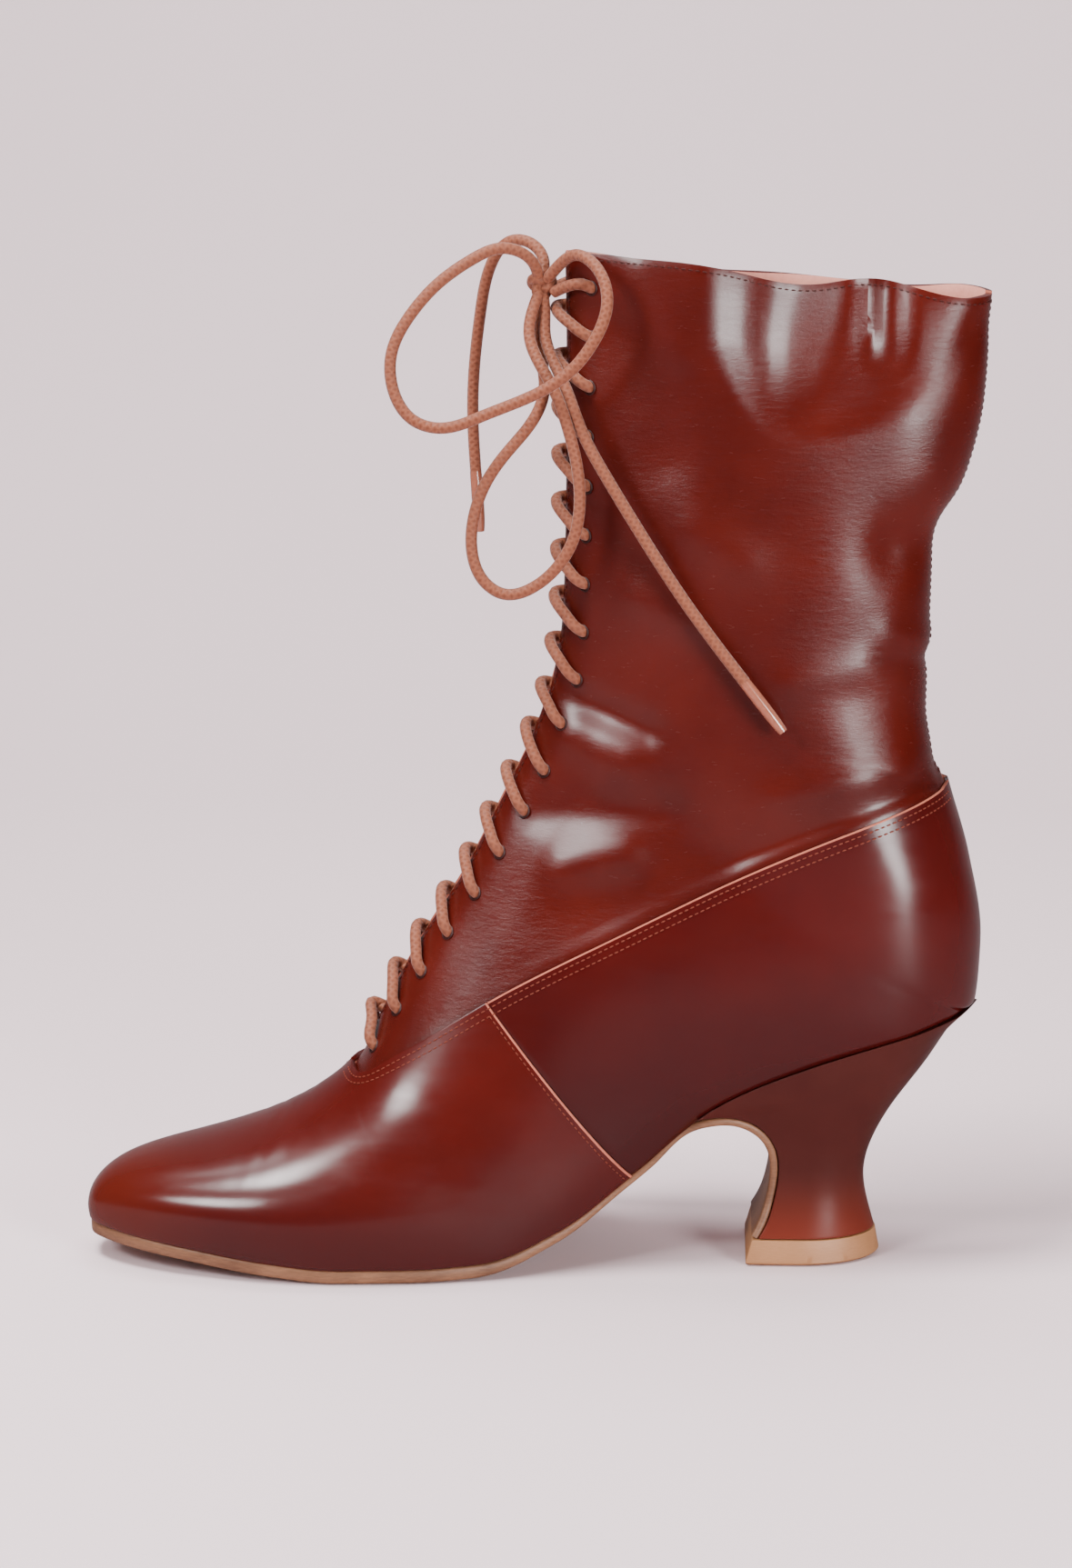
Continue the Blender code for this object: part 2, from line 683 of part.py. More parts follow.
def build_insole(last):
    places = last.stations(0, HEEL_BACK)
    marks = last.stations(0, HEEL_BACK, 4)
    inner, outer = last.outline(marks, -INSOLE_IN)
    rings = []
    for i in range(0, len(marks), len(marks) // len(places)):
        lift = np.array([0, 0, GAP])
        thick = np.array([0, 0, INSOLE_THICK])
        low_in = inner[i] + lift
        low_out = outer[i] + lift
        rings.append([low_in + thick, low_in, low_out, low_out + thick])
    closed_from_rings("insole", rings, "insole_leather")


def build_tongue(last):
    sheet = Sheet()
    rows = []
    for s in last.stations(THROAT - 1, COLLAR)[1:-1]:
        way = last.girth_way(s)
        steps = np.linspace(-TONGUE_HALF, TONGUE_HALF, TONGUE_ROWS + 1)
        dip = TONGUE_DIP * (1.0 - min(max((s - last.rows[THROAT + 1]) / FADE, 0.0), 1.0))
        deep = -WALL - TONGUE_GAP - dip
        rows.append([last.lifted(s, abs(d) / way, -1 if d < 0 else 1, deep) for d in steps])
    sheet.grid(rows, True)
    solidified("tongue", sheet, "tongue_leather", TONGUE_THICK, -1.0)


def tube(name, points, thick, finish, resolution):
    """A round cord through points in millimetres."""
    data = bpy.data.curves.new(name, "CURVE")
    data.dimensions = "3D"
    line = data.splines.new("POLY")
    line.points.add(len(points) - 1)
    for spot, p in zip(line.points, points):
        spot.co = (p[0] * MM, p[1] * MM, p[2] * MM, 1.0)
    data.bevel_depth = thick / 2 * MM
    data.bevel_resolution = resolution
    data.use_fill_caps = True
    data.materials.append(MATERIALS[finish])
    thing = bpy.data.objects.new(name, data)
    PARTS.objects.link(thing)
    return thing


def hole_places(last):
    """Places along the last of the pairs of lace holes, evenly spaced up the front."""
    places = np.linspace(last.rows[THROAT], last.rows[COLLAR], FINE_PLACES)
    line = np.stack([last.curves["front_x"](places), last.curves["front_z"](places)], axis=1)
    way = np.concatenate([[0.0], np.cumsum(np.linalg.norm(np.diff(line, axis=0), axis=1))])
    wanted = np.linspace(FIRST_HOLE, way[-1] - LAST_HOLE, HOLE_PAIRS)
    space = wanted[1] - wanted[0]
    return np.interp(wanted, way, places), np.interp(wanted + CROSS_RISE * space, way, places)


def build_crossings(last):
    lift = LACE / 2 + GAP + LACE_CLEAR
    for number, (low, high) in enumerate(zip(*hole_places(last)), start=1):
        points = []
        for share in np.linspace(-1.0, 1.0, CROSS_POINTS):
            side = -1 if share < 0 else 1
            s = high + (low - high) * abs(share)
            hole = last.slit_t(s) + HOLE_INSET / last.girth_way(s)
            points.append(last.lifted(s, hole * abs(share), side, lift))
        tube(f"lace_cross_{number:02d}", points, LACE, "lace_cotton", CROSS_SIDES)


def smooth_route(route):
    """Points along a smooth curve through a route, a few diameters apart."""
    way = np.concatenate([[0.0], np.cumsum(np.linalg.norm(np.diff(route, axis=0), axis=1))])
    curves = [natural(way, route[:, i]) for i in range(3)]
    count = max(3, round(way[-1] / (CORD_STEP * LACE)))
    return np.stack([curve(np.linspace(0.0, way[-1], count)) for curve in curves], axis=1)


def from_knot(target):
    """Where a cord leaves the knot for its next point."""
    way = target - spot(KNOT)
    return spot(KNOT) + way * (KNOT_SIZE / 2 + GAP + LACE_CLEAR) / np.linalg.norm(way)


def build_bow():
    bpy.ops.mesh.primitive_uv_sphere_add(
        segments=KNOT_SEGMENTS, ring_count=KNOT_RINGS, radius=KNOT_SIZE / 2 * MM
    )
    knot = bpy.context.object
    knot.name = "lace_knot"
    knot.location = Vector(spot(KNOT)) * MM
    knot.data.shade_smooth()
    knot.data.materials.append(MATERIALS["lace_cotton"])
    for home in list(knot.users_collection):
        home.objects.unlink(knot)
    PARTS.objects.link(knot)
    for name, route in (("lace_loop_front", LOOP_FRONT), ("lace_loop_low", LOOP_LOW)):
        line = [spot(p) for p in route]
        points = smooth_route(np.array([from_knot(line[0]), *line, from_knot(line[-1])]))
        tube(name, points, LACE, "lace_cotton", CORD_SIDES)
    for name, route in (("near", END_NEAR), ("far", END_FAR)):
        line = [spot(p) for p in route]
        points = smooth_route(np.array([from_knot(line[0]), *line]))
        tube(f"lace_end_{name}", points, LACE, "lace_cotton", CORD_SIDES)
        way = (points[-1] - points[-2]) / np.linalg.norm(points[-1] - points[-2])
        start = points[-1] + way * GAP
        tube(f"aglet_{name}", [start, start + way * TIP_LENGTH], TIP_THICK, "aglet_plastic", CORD_SIDES)


clear_scene()
PARTS = collection("laced_ankle_boot")
MATERIALS = {name: material(name) for name in FINISHES}
LAST = Last()
build_outsole(LAST)
build_heel(LAST)
build_top_piece()
build_insole(LAST)
build_upper(LAST)
build_foxing(LAST)
build_tongue(LAST)
build_crossings(LAST)
build_bow()
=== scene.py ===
# %% [markdown]
# # A laced ankle boot with a curved heel
#
# A solid model of the boot gives every size and place. This lesson dresses it: thin leather with
# soft folds, sewn seams, a cord lace with a bow, and finishes made of shader nodes.

# %% Load the solid model
import math

import bpy
import numpy as np
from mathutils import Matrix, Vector


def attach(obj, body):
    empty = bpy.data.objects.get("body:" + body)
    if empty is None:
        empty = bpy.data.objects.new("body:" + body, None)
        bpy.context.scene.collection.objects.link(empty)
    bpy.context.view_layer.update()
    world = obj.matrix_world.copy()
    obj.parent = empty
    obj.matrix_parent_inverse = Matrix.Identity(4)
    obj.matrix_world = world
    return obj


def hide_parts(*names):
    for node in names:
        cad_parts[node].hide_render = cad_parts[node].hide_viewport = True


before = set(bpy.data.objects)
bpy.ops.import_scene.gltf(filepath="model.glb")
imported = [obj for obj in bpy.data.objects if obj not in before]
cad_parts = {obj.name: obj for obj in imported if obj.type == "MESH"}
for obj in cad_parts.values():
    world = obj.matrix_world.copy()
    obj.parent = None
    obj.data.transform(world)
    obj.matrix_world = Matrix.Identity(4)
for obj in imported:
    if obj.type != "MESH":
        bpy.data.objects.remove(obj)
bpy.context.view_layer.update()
MM = 0.001
print("solid pieces:", len(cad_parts))

# %% [markdown]
# ## Camera
#
# The camera stands where the photograph was taken, a little above the boot and square to its
# inner side. It is turned to the boot and its lens is longer, so that the boot fills the frame.

# %% Place the camera
CAMERA_AT = (0.051, -1.1475, 0.3725)
LOOK_AT = (0.001, 0.0, 0.133)
LENS = 142.0


def aim(thing, target):
    """Turns a camera or a light to a point."""
    way = Vector(target) - thing.location
    thing.rotation_euler = way.to_track_quat("-Z", "Y").to_euler()


bpy.ops.object.camera_add(location=CAMERA_AT)
camera = bpy.context.object
camera.name = "photo_camera"
camera.data.sensor_fit = "HORIZONTAL"
camera.data.lens = LENS
aim(camera, LOOK_AT)
bpy.context.scene.camera = camera
print("camera lens in mm:", LENS)

# %% [markdown]
# ## The shape of the leather
#
# Leather takes the shape of a last, the wooden foot that a boot is built on. Here the last is a
# fan of planes from the toe over the heel to the collar. Each row of the table is one section;
# between rows, smooth curves run through every column. A scan would hold far more numbers, and a
# table can be read and changed.

# %% Tables of the last, in millimetres
SECTION_COLUMNS = (
    "front_x", "front_z", "back_x", "back_z", "front_y", "back_y",
    "girth", "edge", "belly", "front_round", "back_round",
)
SECTIONS = (
    (-123.5, 11.2, -123.5, 11.2, -8.0, -8.0, 0.0, 0.0, 0.38, 2.1, 2.6),
    (-122.9, 16.6, -122.2, 11.0, -8.0, -8.0, 7.3, 7.0, 0.38, 2.1, 2.6),
    (-118.3, 22.4, -117.0, 10.6, -7.8, -7.8, 14.2, 13.4, 0.37, 2.1, 2.6),
    (-109.0, 27.0, -107.0, 9.7, -7.4, -7.4, 21.2, 20.0, 0.36, 2.1, 2.6),
    (-95.0, 30.8, -92.0, 8.2, -6.4, -6.3, 28.2, 26.6, 0.35, 2.0, 2.6),
    (-78.0, 35.6, -72.0, 5.9, -4.4, -4.0, 35.2, 33.2, 0.33, 1.9, 2.6),
    (-63.0, 42.4, -52.0, 4.4, -2.4, -1.4, 39.2, 37.0, 0.30, 1.8, 2.6),
    (-49.6, 53.0, -32.0, 4.4, -0.8, 0.7, 39.8, 37.6, 0.27, 1.75, 2.6),
    (-43.8, 64.0, -13.5, 5.1, -0.2, 2.7, 38.2, 36.0, 0.25, 1.7, 2.6),
    (-35.2, 79.6, 7.5, 12.4, 0.0, 4.7, 35.4, 31.0, 0.27, 1.7, 2.5),
    (-25.8, 94.3, 28.0, 27.0, 0.0, 5.6, 32.6, 25.0, 0.30, 1.75, 2.4),
    (-17.3, 107.8, 50.0, 45.6, 0.0, 4.2, 31.2, 23.0, 0.29, 1.8, 2.3),
    (-10.4, 121.7, 76.0, 59.2, 0.0, 1.6, 30.6, 25.2, 0.25, 1.8, 2.3),
    (-3.9, 135.0, 100.0, 67.4, 0.0, 0.5, 29.8, 24.2, 0.24, 1.85, 2.3),
    (0.9, 145.1, 115.5, 72.1, 0.0, 0.2, 29.2, 15.6, 0.25, 1.85, 2.2),
    (3.2, 150.3, 122.0, 73.4, 0.0, 0.0, 28.8, 0.0, 0.26, 1.85, 2.2),
    (6.2, 159.0, 123.5, 92.0, 0.0, 0.0, 28.2, 0.0, 0.28, 1.9, 2.15),
    (8.6, 169.3, 119.8, 114.5, 0.0, 0.0, 27.0, 0.0, 0.31, 1.9, 2.15),
    (10.1, 180.0, 113.8, 135.2, 0.0, 0.0, 25.8, 0.0, 0.34, 1.9, 2.2),
    (10.9, 197.0, 108.2, 157.0, 0.0, 0.0, 25.0, 0.0, 0.37, 1.95, 2.3),
    (11.2, 219.0, 109.2, 188.0, 0.0, 0.0, 24.2, 0.0, 0.40, 1.95, 2.4),
    (11.2, 238.0, 117.0, 217.0, 0.0, 0.0, 23.2, 0.0, 0.42, 1.95, 2.4),
    (11.1, 256.0, 122.4, 241.0, 0.0, 0.0, 22.0, 0.0, 0.43, 1.95, 2.4),
    (10.6, 280.5, 124.2, 271.0, 0.0, 0.0, 20.6, 0.0, 0.43, 1.95, 2.4),
)
THROAT, SIDE_SEAM, HEEL_BACK, FOXING_BACK, COLLAR = 7, 10, 15, 18, 23

# Upper edge of the foxing, seen from the side: x, z.
FOXING_EDGE = (
    (-49.6, 53.0), (-47.6, 52.4), (-45.4, 53.0), (-40.0, 56.6), (-30.0, 63.4),
    (-10.5, 76.4), (22.0, 94.6), (54.6, 111.4), (87.0, 125.8), (113.8, 135.2),
)

SLIT_HALF = 2.5
STEADY_COLUMNS = ("back_x", "back_z", "edge")
# Near the back of the heel, places along the last are blended: step, share.
BLEND = ((-1.0, 0.0625), (-0.5, 0.25), (0.0, 0.375), (0.5, 0.25), (1.0, 0.0625))
BLEND_REACH, BLEND_SPAN, BLEND_RIM = 22.0, 48.0, 0.35
print("sections of the last:", len(SECTIONS))

# %% [markdown]
# Two kinds of curve run through the columns. A natural cubic is the smoothest. A steady one never
# swings past its values, which keeps the sole flat where it has to be flat.


# %% Curves through a column
def natural(at, values):
    """The smoothest cubic curve through values."""
    at = np.asarray(at, float)
    values = np.asarray(values, float)
    step = np.diff(at)
    slope = np.diff(values, axis=0) / step.reshape(-1, *[1] * (values.ndim - 1))
    left = np.eye(len(at))
    right = np.zeros_like(values)
    for i in range(1, len(at) - 1):
        left[i, i - 1 : i + 2] = step[i - 1], 2 * (step[i - 1] + step[i]), step[i]
        right[i] = 6 * (slope[i] - slope[i - 1])
    bend = np.linalg.solve(left, right.reshape(len(at), -1)).reshape(values.shape)

    def curve(where):
        where = np.clip(np.asarray(where, float), at[0], at[-1])
        i = np.clip(np.searchsorted(at, where) - 1, 0, len(at) - 2)
        shape = where.shape + (1,) * (values.ndim - 1)
        a, b, h = (v.reshape(shape) for v in (at[i + 1] - where, where - at[i], step[i]))
        cubic = (bend[i] * a**3 + bend[i + 1] * b**3) / (6 * h)
        start = (values[i] / h - bend[i] * h / 6) * a
        return cubic + start + (values[i + 1] / h - bend[i + 1] * h / 6) * b

    return curve


def steady(at, values):
    """A cubic curve through values that never swings past them."""
    at = np.asarray(at, float)
    values = np.asarray(values, float)
    step = np.diff(at)
    slope = np.diff(values) / step
    turn = np.zeros(len(at))
    for i in range(1, len(at) - 1):
        if slope[i - 1] * slope[i] > 0:
            a, b = 2 * step[i] + step[i - 1], step[i] + 2 * step[i - 1]
            turn[i] = (a + b) / (a / slope[i - 1] + b / slope[i])
    turn[0], turn[-1] = slope[0], slope[-1]

    def curve(where):
        where = np.clip(np.asarray(where, float), at[0], at[-1])
        i = np.clip(np.searchsorted(at, where) - 1, 0, len(step) - 1)
        h = step[i]
        u = (where - at[i]) / h
        start = (1 + 2 * u) * (1 - u) ** 2 * values[i] + u * (1 - u) ** 2 * h * turn[i]
        return start + u * u * (3 - 2 * u) * values[i + 1] + u * u * (u - 1) * h * turn[i + 1]

    return curve


# %% The last as a net that can be looked up anywhere
def pair(s, t):
    """Two numbers or arrays brought to one shape."""
    return np.broadcast_arrays(np.asarray(s, float), np.asarray(t, float))


class Net:
    """The fan of sections, drawn once at small steps. A place is s along it and t round it."""

    STEP = 0.5
    SHARES = 241
    ARC = 120
    THINNEST, EDGE_MOST = 0.02, 0.99
    INSIDE = 1.001

    def __init__(self):
        column = dict(zip(SECTION_COLUMNS, np.array(SECTIONS, float).T))
        moved = 0.5 * np.hypot(np.diff(column["front_x"]), np.diff(column["front_z"]))
        moved += 0.5 * np.hypot(np.diff(column["back_x"]), np.diff(column["back_z"]))
        moved += 0.5 * np.abs(np.diff(column["edge"]))
        self.rows = np.concatenate([[0.0], np.cumsum(moved)])
        self.column = {
            name: (steady if name in STEADY_COLUMNS else natural)(self.rows, values)
            for name, values in column.items()
        }
        count = int(self.rows[-1] / self.STEP) + 1
        self.places = np.linspace(0.0, self.rows[-1], count)
        drawn = [self.section(s) for s in self.places]
        self.net = np.array([d[0] for d in drawn])
        self.way = np.array([d[1] for d in drawn])

    def section(self, s):
        """Half a section from the ridge to the rim: x, middle, half width and z at even steps."""
        at = {name: float(curve(s)) for name, curve in self.column.items()}
        girth = max(at["girth"], self.THINNEST)
        edge = min(max(at["edge"], 0.0), self.EDGE_MOST * girth)
        edge = edge if s < self.rows[HEEL_BACK] else 0.0
        front, back, belly = at["front_round"], at["back_round"], at["belly"]
        turn = np.linspace(0.5 * math.pi, 0.0, self.ARC)
        up = belly + (1 - belly) * np.sin(turn) ** (2 / front)
        up_out = girth * np.abs(np.cos(turn)) ** (2 / front)
        up_out[0] = 0.0
        last = math.acos((edge / girth) ** (back / 2))
        turn = np.linspace(0.0, last, self.ARC)[1:]
        low = belly - belly / math.sin(last) ** (2 / back) * np.sin(turn) ** (2 / back)
        low_out = girth * np.abs(np.cos(turn)) ** (2 / back)
        low_out[-1] = edge
        p = np.concatenate([up, low])
        out = np.concatenate([up_out, low_out])
        x = at["back_x"] + (at["front_x"] - at["back_x"]) * p
        z = at["back_z"] + (at["front_z"] - at["back_z"]) * p
        middle = at["back_y"] + (at["front_y"] - at["back_y"]) * p
        way = np.hypot(np.hypot(np.diff(x), np.diff(z)), np.diff(out))
        way = np.concatenate([[0.0], np.cumsum(way)])
        even = np.linspace(0.0, way[-1], self.SHARES)
        return np.stack([np.interp(even, way, c) for c in (x, middle, out, z)], axis=1), way[-1]

    def look(self, s, t):
        """Reads the net between its points."""
        s, t = pair(s, t)
        u = np.clip(s / (self.places[1] - self.places[0]), 0, len(self.places) - self.INSIDE)
        v = np.clip(t, 0, 1) * (self.SHARES - self.INSIDE)
        i, j = u.astype(int), v.astype(int)
        u, v = (u - i)[..., None], (v - j)[..., None]
        net = self.net
        low = net[i, j] * (1 - v) + net[i, j + 1] * v
        high = net[i + 1, j] * (1 - v) + net[i + 1, j + 1] * v
        return low * (1 - u) + high * u

    def girth_way(self, s):
        """How long half a section is."""
        return np.interp(s, self.places, self.way)

    def point(self, s, t, side):
        """A point of the last in millimetres; side is -1 inside and 1 outside."""
        s, t = pair(s, t)
        away = np.minimum(np.abs(s - self.rows[HEEL_BACK]) / BLEND_SPAN, 1.0)
        reach = BLEND_REACH * np.cos(0.5 * math.pi * away) ** 2
        reach = reach * np.minimum((1 - t) / BLEND_RIM, 1.0)
        found = sum(share * self.look(s + step * reach, t) for step, share in BLEND)
        y = found[..., 1] + side * found[..., 2]
        return np.stack([found[..., 0], y, found[..., 3]], axis=-1)


# %% [markdown]
# A leather piece lies on the last with a thickness, and a seam keeps its distance from an edge.
# For both, the directions along, round and out of the last are needed at any place. They are felt
# for with two short steps.


# %% Directions on the last
class Surface(Net):
    """The net with its directions."""

    FEEL = 0.8
    FEEL_FROM, FEEL_TO = 1.6, 1.0
    WALK_ROUNDS, FLATTEST = 4, 1e-6

    def slopes(self, s, t, side):
        """How the point moves for a millimetre along the last and a millimetre round it."""
        s, t = pair(s, t)
        s = np.clip(s, self.FEEL_FROM, self.rows[-1] - self.FEEL_TO)
        reach = self.FEEL / self.girth_way(s)
        low, high = np.maximum(t - reach, 0.0), np.minimum(t + reach, 1.0)
        along = self.point(s + self.FEEL, t, side) - self.point(s - self.FEEL, t, side)
        along = along / (2 * self.FEEL)
        around = self.point(s, high, side) - self.point(s, low, side)
        return along, around / ((high - low) * self.girth_way(s))[..., None]

    def normal(self, s, t, side):
        """The way out of the last; on the middle plane it has no sideways part."""
        along, around = self.slopes(s, t, side)
        out = np.cross(along, around) * side
        s, t = pair(s, t)
        near = 0.5 * self.FEEL / self.girth_way(s)
        heel = s >= self.rows[HEEL_BACK]
        out[..., 1] = np.where((t <= near) | ((t >= 1 - near) & heel), 0.0, out[..., 1])
        out[..., 2] = np.where((t >= 1 - near) & ~heel, 0.0, out[..., 2])
        return out / np.linalg.norm(out, axis=-1, keepdims=True)

    def lifted(self, s, t, side, lift):
        """A point at some height over the last."""
        return self.point(s, t, side) + np.asarray(lift)[..., None] * self.normal(s, t, side)

    def walk(self, s, t, side, way):
        """The place on the last that lies so far from another, in the direction of a vector."""
        target = self.point(s, t, side) + way
        for _ in range(self.WALK_ROUNDS):
            along, around = self.slopes(s, t, side)
            miss = target - self.point(s, t, side)
            aa, ab, bb = (along**2).sum(-1), (along * around).sum(-1), (around**2).sum(-1)
            ma, mb = (miss * along).sum(-1), (miss * around).sum(-1)
            size = np.maximum(aa * bb - ab * ab, self.FLATTEST)
            s = np.clip(s + (ma * bb - mb * ab) / size, 0.0, self.rows[-1])
            t = np.clip(t + (mb * aa - ma * ab) / size / self.girth_way(s), 0.0, 1.0)
        return s, t


# %% Lines on the last
class Last(Surface):
    """The last with the lines of this boot: foxing, slit and stations for the cuts."""

    foxing = staticmethod(natural(*np.array(FOXING_EDGE, float).T))

    def foxing_t(self, places):
        """Where the foxing's upper edge crosses each section."""
        found = []
        shares = np.linspace(0.0, 1.0, self.SHARES)
        for s in np.atleast_1d(places):
            if s <= self.rows[THROAT] or s >= self.rows[FOXING_BACK]:
                found.append(0.0 if s <= self.rows[THROAT] else 1.0)
                continue
            line = self.point(np.full(self.SHARES, s), shares, 1)
            over = line[:, 2] - self.foxing(line[:, 0])
            first = int(np.argmax(over < 0)) if (over < 0).any() else self.SHARES - 1
            share = over[first - 1] / (over[first - 1] - over[first]) if first else 0.0
            found.append(max((first - 1 + share) / (self.SHARES - 1), 0.0))
        return np.array(found)

    def slit_t(self, s):
        """Where the edge of the slit lies; the slit opens slowly at the throat."""
        low, high = self.rows[THROAT], self.rows[THROAT + 2]
        rise = (np.asarray(s, float) - low) / (high - low)
        return SLIT_HALF * np.clip(rise, 0.0, 1.0) / self.girth_way(s)

    def stations(self, first, last, cuts):
        """Places from one row to another, with so many cuts between rows."""
        places = [
            np.linspace(self.rows[i], self.rows[i + 1], cuts, endpoint=False)
            for i in range(first, last)
        ]
        return np.concatenate([*places, [self.rows[last]]])


last = Last()
print("length along the last in mm:", round(float(last.rows[-1]), 1))

# %% [markdown]
# ## Folds of the shaft
#
# The shaft is soft and stands empty, so it sinks into folds. Each fold is listed: a line
# seen from the side, with a width and a height, positive for a ridge and negative for a trough.
# A cloth simulation would fold too, but not where this boot has its folds.

# %% Table of folds, in millimetres
# x0, z0, x1, z1, width, height, and the side: -1 inner, 1 outer, 0 both.
FOLDS = (
    (91.0, 277.0, 91.0, 257.0, 2.8, 2.2, -1),
    (98.5, 277.0, 99.0, 255.0, 3.6, -1.3, -1),
    (110.0, 258.0, 106.0, 224.0, 9.0, 0.5, -1),
    (120.0, 263.0, 104.0, 248.0, 6.5, -1.3, -1),
    (104.0, 268.0, 101.0, 254.0, 4.0, 0.8, -1),
    (116.0, 206.0, 100.0, 203.0, 9.0, -3.4, 0),
    (112.0, 174.5, 96.0, 179.0, 3.0, 0.9, -1),
    (112.0, 169.0, 94.0, 173.5, 2.4, -0.8, -1),
    (29.0, 274.0, 40.0, 254.0, 4.5, 0.8, -1),
    (23.0, 258.0, 36.0, 226.0, 8.0, -1.3, -1),
    (45.0, 207.0, 58.0, 199.0, 6.0, 1.0, -1),
    (30.0, 188.0, 44.0, 182.0, 5.0, 0.8, -1),
    (70.0, 166.0, 92.0, 171.0, 4.5, 0.9, -1),
    (11.0, 148.5, 25.0, 143.0, 7.0, 1.7, -1),
    (9.0, 160.5, 32.0, 152.0, 4.5, -1.4, -1),
    (9.0, 113.0, 26.0, 117.5, 6.0, 1.4, -1),
    (2.0, 128.0, 36.0, 130.0, 6.0, -1.2, -1),
    (57.0, 117.0, 112.0, 140.5, 6.0, -1.1, 0),
    (68.0, 135.5, 102.0, 142.0, 4.5, 0.8, 0),
    (4.0, 98.0, 55.0, 124.0, 9.0, -0.7, 0),
    (60.0, 268.0, 52.0, 228.0, 9.0, 1.8, 1),
    (80.0, 270.0, 84.0, 236.0, 10.0, -2.2, 1),
    (105.0, 266.0, 92.0, 224.0, 8.0, 1.5, 1),
    (30.0, 262.0, 40.0, 224.0, 9.0, -1.2, 1),
    (44.0, 206.0, 76.0, 196.0, 7.0, 1.1, 1),
    (88.0, 172.0, 110.0, 178.0, 3.0, 0.8, 1),
    (84.0, 166.0, 110.0, 171.0, 3.0, -0.9, 1),
    (14.0, 158.0, 50.0, 146.0, 7.0, 1.7, 1),
    (15.0, 168.0, 50.0, 158.0, 6.0, -1.2, 1),
    (6.0, 124.0, 44.0, 122.0, 6.5, 1.5, 1),
    (4.0, 136.0, 40.0, 134.0, 6.0, -1.1, 1),
)
print("folds:", len(FOLDS))

# %% [markdown]
# The collar has sunk with the shaft, so its edge is wavy. A curve of drops, seen from the side,
# gives the wave of each side of the boot.

# %% Wave of the collar
# x, drop
COLLAR_NEAR = (
    (10.0, 0.0), (36.0, 0.6), (51.0, 0.0), (69.0, -2.4), (79.0, -1.6), (90.0, 0.8),
    (101.0, 0.1), (113.0, -2.3), (120.0, -2.4), (126.0, -1.2),
)
COLLAR_FAR = (
    (10.0, 0.0), (30.0, -2.2), (51.0, -3.2), (70.0, -2.6),
    (90.0, -2.9), (105.0, -2.6), (118.0, -0.8), (126.0, -1.2),
)
COLLAR_WAVE = {-1: natural(*np.array(COLLAR_NEAR).T), 1: natural(*np.array(COLLAR_FAR).T)}
COLLAR_FADE = 30.0

# %% [markdown]
# On the inner side the leather is pushed in under the collar. This dent is wider than any fold. It
# has a steep flank in front with a small step in it, a deepest line that leans back, and a slow
# rise behind that line.

# %% Dent under the collar
HOLLOW_Z, HOLLOW_RISE, HOLLOW_DEEP = 230.0, 46.0, 9.5
HOLLOW_TOP = 1.1
FRONT_X, FRONT_RUN, FRONT_SPEED, FRONT_POWER = 70.0, 22.0, 1.6, 0.6
DEEPEST_X, DEEPEST_RUN = 73.0, 13.0
BACK_X, BACK_RUN = 24.0, 14.0
FLANK_SOFT = 0.004
RISE_SIZE, RISE_EASE = 1.08, 0.09
# Share of the flank's width, share of the depth.
FLANK = steady(*np.array(((0.0, 0.0), (0.29, 0.48), (0.45, 0.56), (0.60, 0.77), (1.0, 1.0))).T)


def hollowed(x, z):
    """How deep the dent is at a place seen from the side, in millimetres."""
    rise = np.clip((z - HOLLOW_Z) / HOLLOW_RISE, 0.0, HOLLOW_TOP)
    front = FRONT_X - FRONT_RUN * np.minimum(1.0, FRONT_SPEED * rise) ** FRONT_POWER
    deepest = DEEPEST_X + DEEPEST_RUN * rise
    back = deepest + BACK_X + BACK_RUN * rise
    before = (x - front) / (deepest - front)
    before = FLANK(0.5 * (before + np.sqrt(before**2 + FLANK_SOFT)))
    behind = (1 - np.clip((x - deepest) / (back - deepest), 0.0, 1.0) ** 2) ** 1.5
    depth = HOLLOW_DEEP * RISE_SIZE * rise**2 / (rise**2 + RISE_EASE)
    return depth * np.where(x < deepest, before, behind)


# %% [markdown]
# A shallow swell keeps the leather between the folds from being flat. At the back seam both sides
# share one height, the folds fade out at the foxing, and along the slit the leather is held by
# the lacing and stands forward a little.

# %% The folded shaft
SWELL, SWELL_X, SWELL_Z, SWELL_SLANT = 0.22, 7.3, 9.1, 31.0
SWELL_TURN_X, SWELL_TURN_Z = 1.3, 0.6
BACK_SHARED = 14.0
FOXING_FADE = 6.0
SLIT_KEEPS, SLIT_FADE = 0.25, (2.0, 14.0)
FLARE, FLARE_FROM, FLARE_REACH = 2.3, 4.0, 20.0


def folded(points, side):
    """How far the leather stands out of its plain shape, in millimetres."""
    x, z = points[..., 0], points[..., 2]
    height = SWELL * np.sin(x / SWELL_X + SWELL_TURN_X * side)
    height = height * np.sin(z / SWELL_Z + SWELL_TURN_Z * side + x / SWELL_SLANT)
    for x0, z0, x1, z1, width, rise, where in FOLDS:
        if where in (0, side):
            run = (x1 - x0) ** 2 + (z1 - z0) ** 2
            share = np.clip(((x - x0) * (x1 - x0) + (z - z0) * (z1 - z0)) / run, 0.0, 1.0)
            far = np.hypot(x - x0 - share * (x1 - x0), z - z0 - share * (z1 - z0))
            height = height + rise * np.exp(-((far / width) ** 2))
    return height - hollowed(x, z) if side < 0 else height


def eased(value, low, high):
    """A soft step from 0 to 1."""
    share = np.clip((value - low) / (high - low), 0.0, 1.0)
    return share * share * (3 - 2 * share)


FOXING_PLACES = np.linspace(0.0, last.rows[-1], 700)
FOXING_T = last.foxing_t(FOXING_PLACES)


def foxing_t(s):
    """Where the foxing's upper edge lies, looked up quickly."""
    return np.interp(s, FOXING_PLACES, FOXING_T)


